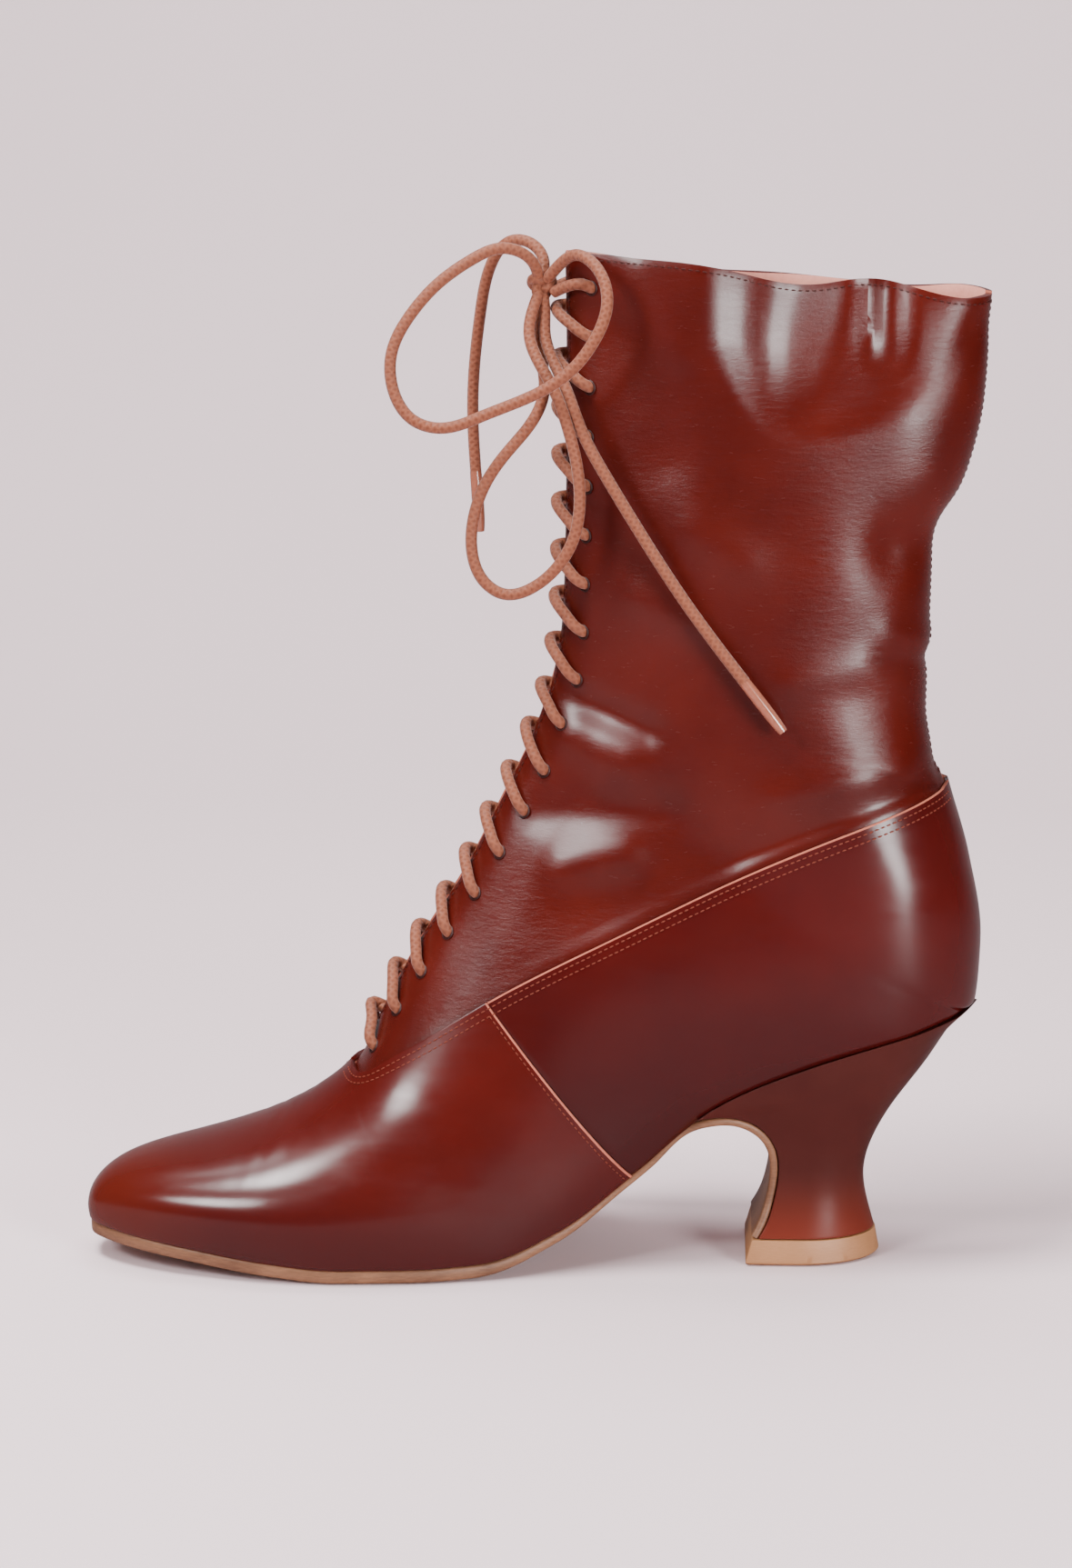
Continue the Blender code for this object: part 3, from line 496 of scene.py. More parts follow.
def shaft(s, t, side, lift):
    """A point of the folded shaft, lifted off its leather."""
    s, t = pair(s, t)
    base = last.point(s, t, side)
    way = last.girth_way(s)
    own = eased((1 - t) * way, 0.0, BACK_SHARED)
    height = own * folded(base, side) + (1 - own) * 0.5 * (folded(base, 1) + folded(base, -1))
    above = np.maximum(s - last.rows[FOXING_BACK], 0.0)
    height = height * eased(np.hypot((foxing_t(s) - t) * way, above), 0.0, FOXING_FADE)
    from_slit = (t - last.slit_t(s)) * way
    height = height * (SLIT_KEEPS + (1 - SLIT_KEEPS) * eased(from_slit, *SLIT_FADE))
    forward = FLARE * eased(s, last.rows[THROAT] + FLARE_FROM, last.rows[THROAT + 3])
    height = height + forward * (1 - eased(from_slit, 0.0, FLARE_REACH))
    found = base + (height + lift)[..., None] * last.normal(s, t, side)
    drop = COLLAR_WAVE[side](base[..., 0])
    found[..., 2] += drop * eased(s, last.rows[-1] - COLLAR_FADE, last.rows[-1])
    return found


back_top = shaft(last.rows[COLLAR], 1.0, -1, 0.0)
print("height of the collar at the back in mm:", round(float(back_top[2]), 1))

# %% [markdown]
# ## Laying leather
#
# Every leather piece starts as a flat grid, as a skin does. Its points are laid on the last, its
# two halves are sewn along the middle, a Solidify modifier gives it its thickness and a small
# bevel rounds the cut edge.

# %% Helpers for leather pieces
WELD = 0.00003
FACE_SKIN, EDGE_SKIN = 0, 2
INWARD, OUTWARD = -1.0, 1.0


def only(thing):
    """Selects one piece and nothing else."""
    bpy.ops.object.select_all(action="DESELECT")
    thing.select_set(True)
    bpy.context.view_layer.objects.active = thing


def laid(name, points):
    """A grid primitive laid over rows of points in millimetres."""
    deep, wide = points.shape[:2]
    bpy.ops.object.select_all(action="DESELECT")
    bpy.ops.mesh.primitive_grid_add(
        x_subdivisions=wide - 1, y_subdivisions=deep - 1, size=1.0
    )
    thing = bpy.context.object
    thing.name = name
    thing.data.name = name
    thing.data.vertices.foreach_set("co", (points * MM).astype(np.float32).ravel())
    thing.data.update()
    return thing


def sewn(name, sheets):
    """Sheets joined into one piece and welded where they meet."""
    bpy.ops.object.select_all(action="DESELECT")
    for sheet in sheets:
        sheet.select_set(True)
    bpy.context.view_layer.objects.active = sheets[0]
    if len(sheets) > 1:
        bpy.ops.object.join()
    thing = bpy.context.object
    thing.name = name
    thing.data.name = name
    bpy.ops.object.mode_set(mode="EDIT")
    bpy.ops.mesh.select_all(action="SELECT")
    bpy.ops.mesh.remove_doubles(threshold=WELD)
    bpy.ops.object.mode_set(mode="OBJECT")
    return thing


def filled(thing, sides, skin):
    """Fills the open ends of a sewn piece, turns its faces out and gives it one material."""
    bpy.ops.object.mode_set(mode="EDIT")
    bpy.ops.mesh.select_all(action="SELECT")
    bpy.ops.mesh.fill_holes(sides=sides)
    bpy.ops.mesh.select_all(action="SELECT")
    bpy.ops.mesh.normals_make_consistent(inside=False)
    bpy.ops.object.mode_set(mode="OBJECT")
    thing.data.materials.clear()
    thing.data.materials.append(skin)
    return thing


# %% Helpers that finish a piece
def applied(thing, kind, **settings):
    """Adds a modifier, sets it and applies it."""
    only(thing)
    modifier = thing.modifiers.new(kind.lower(), kind)
    for name, value in settings.items():
        setattr(modifier, name, value)
    bpy.ops.object.modifier_apply(modifier=modifier.name)


def skinned(thing, skins, raw=()):
    """Gives a sheet the materials of its face, its back and its edge, and marks its raw faces."""
    for skin in skins:
        thing.data.materials.append(skin)
    for i in raw:
        thing.data.polygons[i].material_index = EDGE_SKIN
    return thing


def walled(thing, thick, offset, rim):
    """Gives a sheet its thickness; rim says how far the edge's material lies from the face's."""
    applied(
        thing, "SOLIDIFY", thickness=thick * MM, offset=offset, use_even_offset=True,
        material_offset=1, material_offset_rim=rim,
    )


def softened(thing, width, segments=2, angle=50.0):
    """Rounds the sharp edges a little and shades the rest smooth."""
    applied(
        thing, "BEVEL", width=width * MM, segments=segments, limit_method="ANGLE",
        angle_limit=math.radians(angle), use_clamp_overlap=True, harden_normals=False,
    )
    smoothed(thing)


def smoothed(thing, angle=45.0):
    """Shades a piece smooth where its faces meet at less than this angle."""
    only(thing)
    bpy.ops.object.shade_smooth_by_angle(angle=math.radians(angle))


def placed(thing, slot, *nodes):
    """Lets a finished piece ride on the boot and stand for its solid nodes."""
    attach(thing, "root")
    if nodes:
        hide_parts(*nodes)
    print(thing.name, len(thing.data.polygons), "faces")
    return thing


# %% [markdown]
# ## Finishes
#
# Polished calf is a thin clear finish over dyed skin. Its colour is deeper where the dye pooled
# and warmer where it is worn, it has fine pores, and hair-fine creases break its gloss. Pores,
# mottling and creases are one node group, used by every leather with its own values. The polish
# is a clear coat over the dye. A photo of leather could give the same, but nodes keep their scale
# on every piece and show no repeats.

# %% Helpers for node trees
def feed(tree, socket, given):
    """Links another node's output to a socket, or sets the socket's own value."""
    if isinstance(given, bpy.types.NodeSocket):
        tree.links.new(given, socket)
    else:
        socket.default_value = given


def node(tree, kind, **given):
    """Adds a node. From_Min stands for its socket From Min; other words are its settings."""
    made = tree.nodes.new(kind)
    for name, value in given.items():
        label = name.replace("_", " ")
        if label in made.inputs:
            feed(tree, made.inputs[label], value)
        else:
            setattr(made, name, value)
    return made


def worked(tree, operation, *given):
    """The sum, product or other outcome of outputs and numbers."""
    made = node(tree, "ShaderNodeMath", operation=operation)
    for socket, value in zip(made.inputs, given):
        feed(tree, socket, value)
    return made.outputs[0]


def ranged(tree, value, **limits):
    """A value moved from one range to another."""
    return node(tree, "ShaderNodeMapRange", **limits, Value=value).outputs["Result"]


def opaque(colour):
    """A colour that lets nothing through."""
    return (*colour, 1.0)


def blended(tree, share, low, high):
    """A colour between two others."""
    made = node(tree, "ShaderNodeMix", data_type="RGBA")
    for i, given in ((0, share), (6, low), (7, high)):
        feed(tree, made.inputs[i], given)
    return made.outputs[2]


def spots(tree):
    """Places on a piece in metres, which move with it."""
    return node(tree, "ShaderNodeTexCoord").outputs["Object"]


# %% Helpers for groups and materials
def new_group(name, inputs, outputs):
    """An empty node group, with its inputs and outputs."""
    tree = bpy.data.node_groups.new(name, "ShaderNodeTree")
    for label, start in inputs.items():
        socket = tree.interface.new_socket(label, in_out="INPUT", socket_type="NodeSocketFloat")
        socket.default_value = start
    for label in outputs:
        tree.interface.new_socket(label, in_out="OUTPUT", socket_type="NodeSocketFloat")
    return tree, tree.nodes.new("NodeGroupInput"), tree.nodes.new("NodeGroupOutput")


def new_finish(name):
    """A new material, with its node tree and its shader."""
    made = bpy.data.materials.new(name)
    made.use_nodes = True
    return made, made.node_tree, made.node_tree.nodes["Principled BSDF"]


def embossed(tree, shader, height, strength, distance):
    """Fine relief in the shading, from a height that changes over the surface."""
    relief = node(tree, "ShaderNodeBump", Strength=strength, Distance=distance, Height=height)
    feed(tree, shader.inputs["Normal"], relief.outputs["Normal"])


# %% The grain that all leathers share
CREASE_STRETCH = (0.45, 1.0, 1.9)
CREASE_TURN = (0.0, math.radians(12.0), 0.0)
PORE_SHARE = 0.35


def grain_group():
    """Pores and creases as a height, and clouds of dye; the inputs are scales."""
    tree, given, out = new_group(
        "calf_grain",
        {"Pores": 1700.0, "Creases": 240.0, "Clouds": 34.0},
        ("Height", "Mottle", "Crease"),
    )
    spot = spots(tree)
    pores = node(
        tree, "ShaderNodeTexVoronoi", feature="SMOOTH_F1",
        Vector=spot, Scale=given.outputs["Pores"],
    )
    flow = node(tree, "ShaderNodeMapping", Vector=spot, Scale=CREASE_STRETCH, Rotation=CREASE_TURN)
    creases = node(
        tree, "ShaderNodeTexNoise", Vector=flow.outputs["Vector"], Scale=given.outputs["Creases"],
        Detail=8.0, Roughness=0.72, Distortion=0.4,
    )
    clouds = node(
        tree, "ShaderNodeTexNoise", Vector=spot, Scale=given.outputs["Clouds"],
        Detail=3.0, Roughness=0.5,
    )
    crease = ranged(tree, creases.outputs["Fac"], From_Min=0.34, From_Max=0.66)
    mottle = ranged(tree, clouds.outputs["Fac"], From_Min=0.32, From_Max=0.68)
    fine = worked(tree, "MULTIPLY", pores.outputs["Distance"], PORE_SHARE)
    feed(tree, out.inputs["Height"], worked(tree, "ADD", fine, crease))
    feed(tree, out.inputs["Mottle"], mottle)
    feed(tree, out.inputs["Crease"], crease)
    return tree


GRAIN = grain_group()

# %% [markdown]
# Where hands and time have rubbed the shaft, its polish has gone dull. Each such place is a soft
# ellipse, seen from the side, in which the coat thins out. The dye and the grain stay.


# %% Worn polish
ELLIPSE_DEPTH = 1000.0
ELLIPSE_HEART = 0.25


def worn(tree, coat, patches):
    """A coat that is thinner in ellipses: x, z, half width, half height and share lost."""
    spot = spots(tree)
    for x, z, wide, high, less in patches:
        flow = node(
            tree, "ShaderNodeMapping", vector_type="TEXTURE", Vector=spot,
            Location=(x * MM, 0.0, z * MM), Scale=(wide * MM, ELLIPSE_DEPTH, high * MM),
        )
        far = node(
            tree, "ShaderNodeVectorMath", operation="LENGTH", Vector=flow.outputs["Vector"]
        )
        left = ranged(
            tree, far.outputs["Value"], interpolation_type="SMOOTHSTEP",
            From_Min=ELLIPSE_HEART, To_Min=1.0 - less,
        )
        coat = worked(tree, "MULTIPLY", left, coat)
    return coat


# %% Polished calf
SHADE_SHARE = 0.85
COAT_ROUGHNESS = 0.24


def calf(
    name, deep, warm, roughness, coat, creases, bump,
    toe=None, painted_light_low=None, polish=0.42, patches=(),
):
    """Dyed, polished leather, warmer at the toe; low down a darker colour is painted shade, a
    lighter one painted light.
    """
    made, tree, shader = new_finish(name)
    grain = node(tree, "ShaderNodeGroup", node_tree=GRAIN, Creases=creases)
    colour = blended(tree, grain.outputs["Mottle"], opaque(deep), opaque(warm))
    axis = node(tree, "ShaderNodeSeparateXYZ", Vector=spots(tree))
    # Along Z the colour called dye here is painted light: painted shade darkens the vamp and the
    # quarter towards the bottom, and painted light brightens the heel there. Along X it turns
    # warmer at the toe.
    for way, shade in (("Z", painted_light_low), ("X", toe)):
        if shade:
            start, end, dye = shade
            share = ranged(
                tree, axis.outputs[way], interpolation_type="SMOOTHSTEP",
                From_Min=start * MM, From_Max=end * MM, To_Min=SHADE_SHARE, To_Max=0.0,
            )
            colour = blended(tree, share, colour, opaque(dye))
    feed(tree, shader.inputs["Base Color"], colour)
    dull = ranged(
        tree, grain.outputs["Crease"], To_Min=roughness - 0.02, To_Max=roughness + 0.05
    )
    feed(tree, shader.inputs["Roughness"], dull)
    embossed(tree, shader, grain.outputs["Height"], bump, 0.00025)
    shader.inputs["Coat Weight"].default_value = coat
    shader.inputs["Coat Roughness"].default_value = COAT_ROUGHNESS
    shader.inputs["Specular IOR Level"].default_value = polish
    if patches:
        feed(tree, shader.inputs["Coat Weight"], worn(tree, coat, patches))
    return made


# %% Calf of the upper, the foxing and the heel
SHAFT_CALF = calf(
    "shaft_calf", (0.0512, 0.0034, 0.0020), (0.0720, 0.0059, 0.0032), 0.23, 0.44, 400.0, 0.24,
    polish=0.21,
    patches=(
        (89.0, 204.0, 36.0, 54.0, 0.85), (99.0, 152.0, 24.0, 26.0, 0.80),
        (112.0, 250.0, 16.0, 40.0, 0.85), (4.0, 97.0, 22.0, 26.0, 0.65),
        (60.0, 281.0, 26.0, 14.0, 0.80),
    ),
)
# The vamp is painted darker towards the bottom: painted shade.
VAMP_CALF = calf(
    "vamp_calf", (0.0541, 0.0038, 0.0028), (0.0689, 0.0051, 0.0034), 0.20, 0.08, 110.0, 0.02,
    toe=(-126.0, -80.0, (0.0853, 0.0086, 0.0041)), painted_light_low=(4.0, 46.0, (0.0426, 0.0038, 0.0033)),
)
# The quarter is painted darker towards the bottom: painted shade.
QUARTER_CALF = calf(
    "quarter_calf", (0.0484, 0.0031, 0.0027), (0.0624, 0.0041, 0.0031), 0.18, 0.08, 110.0, 0.02,
    painted_light_low=(34.0, 108.0, (0.0328, 0.0033, 0.0031)),
)
# The heel is painted lighter towards the bottom and darker up under the sole: painted light and
# painted shade.
HEEL_CALF = calf(
    "heel_calf", (0.0470, 0.0092, 0.0072), (0.0590, 0.0122, 0.0094), 0.36, 0.0, 160.0, 0.03,
    painted_light_low=(2.0, 28.0, (0.1530, 0.0234, 0.0126)), polish=0.12,
)
# The tongue is the same leather painted much darker: painted shade for the shadow it lies in behind
# the slit.
TONGUE_PAINTED_SHADE_CALF = calf(
    "tongue_calf_painted_shade", (0.020, 0.0026, 0.0022), (0.032, 0.0042, 0.0034), 0.45, 0.0, 220.0, 0.2
)
print("calf finishes made")

# %% [markdown]
# The other leathers have no dye or polish. Their colour is clouded, and their fibres show: on the
# edges of the sole and the top piece they run level, because the layers of the hide lie flat.


# %% Raw edges, lining and sole leather
def plain_skin(name, low, high, roughness, scale, stretch, bump):
    """Undyed or lining leather: clouded colour, a fibrous bump and no polish."""
    made, tree, shader = new_finish(name)
    spot = spots(tree)
    flow = node(tree, "ShaderNodeMapping", Vector=spot, Scale=stretch)
    fibre = node(
        tree, "ShaderNodeTexNoise", Vector=flow.outputs["Vector"], Scale=scale,
        Detail=6.0, Roughness=0.6,
    )
    cloud = node(tree, "ShaderNodeTexNoise", Vector=spot, Scale=60.0, Detail=2.0)
    both = worked(tree, "ADD", fibre.outputs["Fac"], cloud.outputs["Fac"])
    share = ranged(tree, both, From_Min=0.65, From_Max=1.35)
    feed(tree, shader.inputs["Base Color"], blended(tree, share, opaque(low), opaque(high)))
    embossed(tree, shader, fibre.outputs["Fac"], bump, 0.0002)
    shader.inputs["Roughness"].default_value = roughness
    return made


EVEN = (1.0, 1.0, 1.0)
LINING = plain_skin("lining_skin", (0.56, 0.22, 0.17), (0.70, 0.31, 0.24), 0.6, 700.0, EVEN, 0.2)
RAW_EDGE = plain_skin(
    "raw_edge", (0.30, 0.064, 0.034), (0.48, 0.135, 0.080), 0.7, 1500.0, EVEN, 0.3
)
SOLE_LEATHER = plain_skin(
    "sole_leather", (0.11, 0.041, 0.018), (0.26, 0.116, 0.055), 0.5, 420.0, (1.0, 1.0, 6.0), 0.3
)
TOP_PIECE_LEATHER = plain_skin(
    "top_piece_leather", (0.32, 0.140, 0.056), (0.40, 0.184, 0.078), 0.5, 500.0,
    (1.0, 1.0, 5.0), 0.2,
)
INSOLE_LEATHER = plain_skin(
    "insole_leather", (0.46, 0.25, 0.16), (0.60, 0.36, 0.25), 0.6, 600.0, EVEN, 0.2
)
print("plain leathers made")

# %% [markdown]
# ## The lace
#
# The lace is a round waxed cotton cord. Its bow is free, so it comes early: each loop and each end
# is a cord of its own length that leaves the knot. A tube is a grid rolled round its line, and its
# UV map holds millimetres along the cord, so that the braid keeps its scale.

# %% Braided cotton
FUZZ = 0.9


def braid_group():
    """Two sets of slanting strands, from a UV map of metres along and turns round the cord."""
    tree, given, out = new_group("braid", {"Strands": 4.0, "Pitch": 520.0}, ("Height", "Shade"))
    wound = node(tree, "ShaderNodeUVMap", uv_map="UVMap").outputs["UV"]
    axis = node(tree, "ShaderNodeSeparateXYZ", Vector=wound)
    along = worked(tree, "MULTIPLY", axis.outputs["X"], given.outputs["Pitch"])
    around = worked(tree, "MULTIPLY", axis.outputs["Y"], given.outputs["Strands"])
    waves = []
    for way in ("ADD", "SUBTRACT"):
        turn = worked(tree, "MULTIPLY", worked(tree, way, along, around), 2 * math.pi)
        waves.append(worked(tree, "SINE", turn))
    fuzz = node(tree, "ShaderNodeTexNoise", Vector=spots(tree), Scale=2600.0, Detail=3.0)
    top = worked(tree, "MAXIMUM", *waves)
    height = worked(tree, "MULTIPLY_ADD", fuzz.outputs["Fac"], FUZZ, top)
    feed(tree, out.inputs["Height"], height)
    # Shade is painted shade: darker in the grooves between strands, with some random fuzz.
    feed(tree, out.inputs["Shade"], ranged(tree, height, From_Min=-0.6, From_Max=1.6))
    return tree


def cotton(name, low, high, pitch, strands, sheen):
    """Cotton cord or thread, painted darker in the grooves between its strands: painted shade."""
    made, tree, shader = new_finish(name)
    braid = node(tree, "ShaderNodeGroup", node_tree=BRAID, Pitch=pitch, Strands=strands)
    colour = blended(tree, braid.outputs["Shade"], opaque(low), opaque(high))
    feed(tree, shader.inputs["Base Color"], colour)
    embossed(tree, shader, braid.outputs["Height"], 0.35, 0.0002)
    shader.inputs["Specular IOR Level"].default_value = 0.2
    shader.inputs["Roughness"].default_value = 0.55
    shader.inputs["Sheen Weight"].default_value = sheen
    return made


BRAID = braid_group()
LACE_COTTON = cotton(
    "lace_cotton", (0.148, 0.038, 0.0165), (0.222, 0.067, 0.033), 520.0, 4.0, 0.15
)
THREAD = cotton("sewing_thread", (0.11, 0.018, 0.010), (0.19, 0.038, 0.020), 900.0, 2.0, 0.0)
DARK_THREAD = cotton("dark_thread", (0.035, 0.005, 0.004), (0.055, 0.009, 0.006), 900.0, 2.0, 0.0)
print("cotton of lace and threads made")


# %% Measuring along a line
def way_along(line):
    """The way from a line's start to each of its points."""
    return np.concatenate([[0.0], np.cumsum(np.linalg.norm(np.diff(line, axis=0), axis=1))])


def at_ways(line, way, at):
    """Points on a line after a given way."""
    return np.stack([np.interp(at, way, line[:, i]) for i in range(3)], axis=1)


def even_line(route, step):
    """A smooth line through a route, with points an even step apart."""
    route = np.array(route, float)
    way = way_along(route)
    fine = natural(way, route)(np.linspace(0.0, way[-1], 40 * len(route)))
    way = way_along(fine)
    count = max(4, round(way[-1] / step) + 1)
    return at_ways(fine, way, np.linspace(0.0, way[-1], count))


# %% Rolling a tube round a line
LACE = 3.2
TUBE_SIDES = 12
FIRST_SIDE = (0.31, 0.83, 0.46)


def tube(name, line, thick, closed=False):
    """A tube round a line of points in millimetres, with metres along it in its UV map."""
    ahead = np.gradient(line, axis=0)
    if closed:
        ahead[0] = ahead[-1] = line[1] - line[-2]
    ahead /= np.linalg.norm(ahead, axis=1, keepdims=True)
    side = np.cross(ahead[0], FIRST_SIDE)
    across = []
    for way in ahead:
        side = side - way * np.dot(side, way)
        side = side / np.linalg.norm(side)
        across.append(side)
    across = np.array(across)
    if closed:
        twist = math.atan2(
            np.dot(np.cross(across[-1], across[0]), ahead[0]), np.dot(across[-1], across[0])
        )
        spin = np.linspace(0.0, twist, len(line))[:, None]
        across = across * np.cos(spin) + np.cross(ahead, across) * np.sin(spin)
    up = np.cross(ahead, across)
    turn = np.linspace(0.0, 2 * math.pi, TUBE_SIDES + 1)[None, :, None]
    ring = np.cos(turn) * across[:, None] + np.sin(turn) * up[:, None]
    thick = np.broadcast_to(np.asarray(thick, float), len(line))
    thing = laid(name, line[:, None] + ring[:, ::-1] * thick[:, None, None] / 2)
    along = way_along(line) * MM
    corner = np.empty(len(thing.data.loops), np.int32)
    thing.data.loops.foreach_get("vertex_index", corner)
    row, place = np.divmod(corner, TUBE_SIDES + 1)
    uv = np.stack([along[row], place / TUBE_SIDES], axis=1)
    thing.data.uv_layers[0].data.foreach_set("uv", uv.astype(np.float32).ravel())
    return thing


def closed_tube(name, tubes):
    """Tubes welded along their seams, with their ends filled."""
    thing = filled(sewn(name, tubes), TUBE_SIDES + 2, LACE_COTTON)
    smoothed(thing, 60.0)
    return thing


# %% Routes of the bow, in millimetres
KNOT = np.array((2.7, -2.8, 271.2))
KNOT_SIZE = 8.4
# Points of the routes: x, y, z.
LOOP_FRONT = (
    (0.5, -6.0, 277.6), (-7.3, -9.0, 281.7), (-15.7, -11.0, 278.8), (-24.7, -13.0, 272.5),
    (-32.1, -14.7, 264.2), (-36.9, -16.4, 254.8), (-36.7, -17.8, 244.8), (-31.3, -19.4, 236.6),
    (-23.2, -20.3, 234.5), (-12.7, -21.3, 237.8), (-1.2, -22.8, 242.6), (9.8, -24.3, 249.1),
    (17.1, -25.0, 257.8), (20.9, -23.6, 267.8), (18.5, -18.6, 276.6), (12.1, -12.0, 280.2),
    (7.3, -7.0, 276.8),
)
LOOP_LOW = (
    (0.5, -6.8, 265.3), (-0.4, -10.0, 258.9), (2.0, -14.0, 252.3), (6.4, -18.0, 245.0),
    (10.3, -21.2, 235.2), (13.0, -22.5, 224.4), (13.7, -22.5, 214.3), (11.9, -22.0, 204.6),
    (7.5, -21.0, 197.0), (1.4, -20.0, 191.6), (-6.5, -19.0, 189.3), (-12.5, -18.0, 192.9),
    (-15.6, -17.0, 200.7), (-15.1, -16.0, 210.1), (-11.7, -15.0, 219.4), (-5.6, -14.4, 228.0),
    (0.7, -13.4, 235.8), (3.7, -11.0, 243.8), (2.9, -8.0, 251.8), (2.5, -5.2, 259.8),
)
END_FAR = (
    (2.9, 2.0, 278.0), (-1.3, 6.0, 282.2), (-7.1, 9.6, 281.8), (-11.9, 12.8, 275.4),
    (-14.9, 15.8, 262.8), (-16.7, 17.4, 248.2), (-17.3, 18.0, 233.8), (-16.5, 17.9, 217.6),
)
END_NEAR = (
    (3.5, -4.6, 265.3), (3.7, -7.2, 258.8), (6.1, -11.5, 251.8), (9.9, -16.6, 244.4),
    (14.3, -20.8, 233.6), (20.1, -23.0, 223.1), (29.3, -24.6, 208.2), (43.3, -27.0, 187.2),
    (58.6, -29.2, 167.2),
)
KNOT_INSIDE = 0.3


def from_knot(target):
    """Where a cord leaves the inside of the knot on its way to a point."""
    way = np.array(target, float) - KNOT
    return KNOT + way * (KNOT_INSIDE * KNOT_SIZE) / np.linalg.norm(way)


# %% Loops of the bow
for name, route in (("lace_loop_front", LOOP_FRONT), ("lace_loop_low", LOOP_LOW)):
    line = even_line([from_knot(route[0]), *route, from_knot(route[-1])], 1.0)
    loop = closed_tube("cord_" + name, [tube(name + "_tube", line, LACE)])
    placed(loop, "lace_cotton", name)

# %% [markdown]
# Each end closes in a clear plastic tip, shrunk on to the cord. The tip is a tube of its own with
# slightly drawn-in ends.


# %% Ends of the lace and their tips
TIP_LENGTH, TIP_THICK, TIP_LAP = 17.0, 3.4, 0.4
TIP_STEPS = 24
TIP_DRAWN, CORD_DRAWN = 0.28, 0.05


def clear_plastic():
    """Clear plastic with a little haze, tinted by the cord inside it."""
    made, tree, shader = new_finish("tip_plastic")
    haze = node(tree, "ShaderNodeTexNoise", Vector=spots(tree), Scale=900.0, Detail=2.0)
    colour = blended(
        tree, haze.outputs["Fac"], (0.21, 0.060, 0.034, 1.0), (0.34, 0.120, 0.075, 1.0)
    )
    feed(tree, shader.inputs["Base Color"], colour)
    shader.inputs["Roughness"].default_value = 0.16
    shader.inputs["Coat Weight"].default_value = 0.6
    return made


TIP_PLASTIC = clear_plastic()
share = np.linspace(0.0, 1.0, TIP_STEPS)
tip_thick = TIP_THICK * (1.0 - TIP_DRAWN * share**6 - CORD_DRAWN * (1.0 - share) ** 8)
tip_way = np.linspace(0.0, TIP_LENGTH, TIP_STEPS) - TIP_LAP
for name, route in (("near", END_NEAR), ("far", END_FAR)):
    line = even_line([from_knot(route[0]), *route], 1.0)
    way = (line[-1] - line[-3]) / np.linalg.norm(line[-1] - line[-3])
    tip_line = line[-1] + way * tip_way[:, None]
    tip = closed_tube("tip_" + name, [tube("tip_tube_" + name, tip_line, tip_thick)])
    tip.data.materials[0] = TIP_PLASTIC
    placed(tip, "aglet_plastic", "aglet_" + name)
    end = closed_tube("cord_lace_end_" + name, [tube("end_" + name, line, LACE)])
    placed(end, "lace_cotton", "lace_end_" + name)

# %% [markdown]
# The knot is drawn tight. A trefoil, the simplest closed knot, has the same three crossings that
# show on the outside of a bow, so a small trefoil of cord stands for it.

# %% The knot
KNOT_CORD, KNOT_SCALE, KNOT_DEPTH = 3.0, 0.98, 1.35
turn = np.linspace(0.0, 2 * math.pi, 73)
trefoil = np.stack([
    np.sin(turn) + 2 * np.sin(2 * turn),
    -KNOT_DEPTH * np.sin(3 * turn),
    np.cos(turn) - 2 * np.cos(2 * turn),
], axis=1)
knot_line = KNOT + KNOT_SCALE * trefoil
knot = closed_tube("cord_knot", [tube("knot_tube", knot_line, KNOT_CORD, closed=True)])
placed(knot, "lace_cotton", "lace_knot")

# %% [markdown]
# ## Lacing through the holes
#
# Each strand comes up out of a hole, runs over the leather to the slit, crosses the other strand
# and dives under the opposite edge. So every pair of holes has two strands, one over the other.
# The strands of the top pair run to the knot instead.

# %% Places of the holes
HOLE_PAIRS = 18
HOLE_INSET = 8.5
FIRST_HOLE, LAST_HOLE = 10.0, 9.0

ridge_places = np.linspace(last.rows[THROAT], last.rows[COLLAR], 4000)
ridge = np.stack([last.column[name](ridge_places) for name in ("front_x", "front_z")], axis=1)
ridge_way = way_along(ridge)
hole_way = np.linspace(FIRST_HOLE, ridge_way[-1] - LAST_HOLE, HOLE_PAIRS)
hole_space = hole_way[1] - hole_way[0]


def up_the_front(way):
    """The place on the last after a way up the ridge."""
    return np.interp(way, ridge_way, ridge_places)


def hole_t(s):
    """Where the holes lie beside the slit."""
    return last.slit_t(s) + HOLE_INSET / last.girth_way(s)


print("space between holes in mm:", round(hole_space, 2))

# %% Strands
CROSS_RISE = 0.56
# From the hole to the crossing: share of the rise, share of the hole's distance, lift.
STRAND_RISE = (
    (0.0, 1.0, -2.4), (0.02, 1.0, -0.5), (0.13, 0.93, 1.5), (0.42, 0.66, 2.2), (0.76, 0.33, 2.6),
)
OVER, UNDER = 3.9, 0.2
# Past the crossing, under the other edge: share of the space, distance from the slit, lift.
STRAND_DIVE = ((0.05, 0.2, -2.4), (0.16, 4.0, -3.9))
TIED_FROM, TIED_TO, TIED_OUT, TIED_UP = 0.45, 0.55, 0.6, 0.8
TO_KNOT = {-1: (3.4, -2.2, -1.6), 1: (3.2, 3.4, -0.8)}


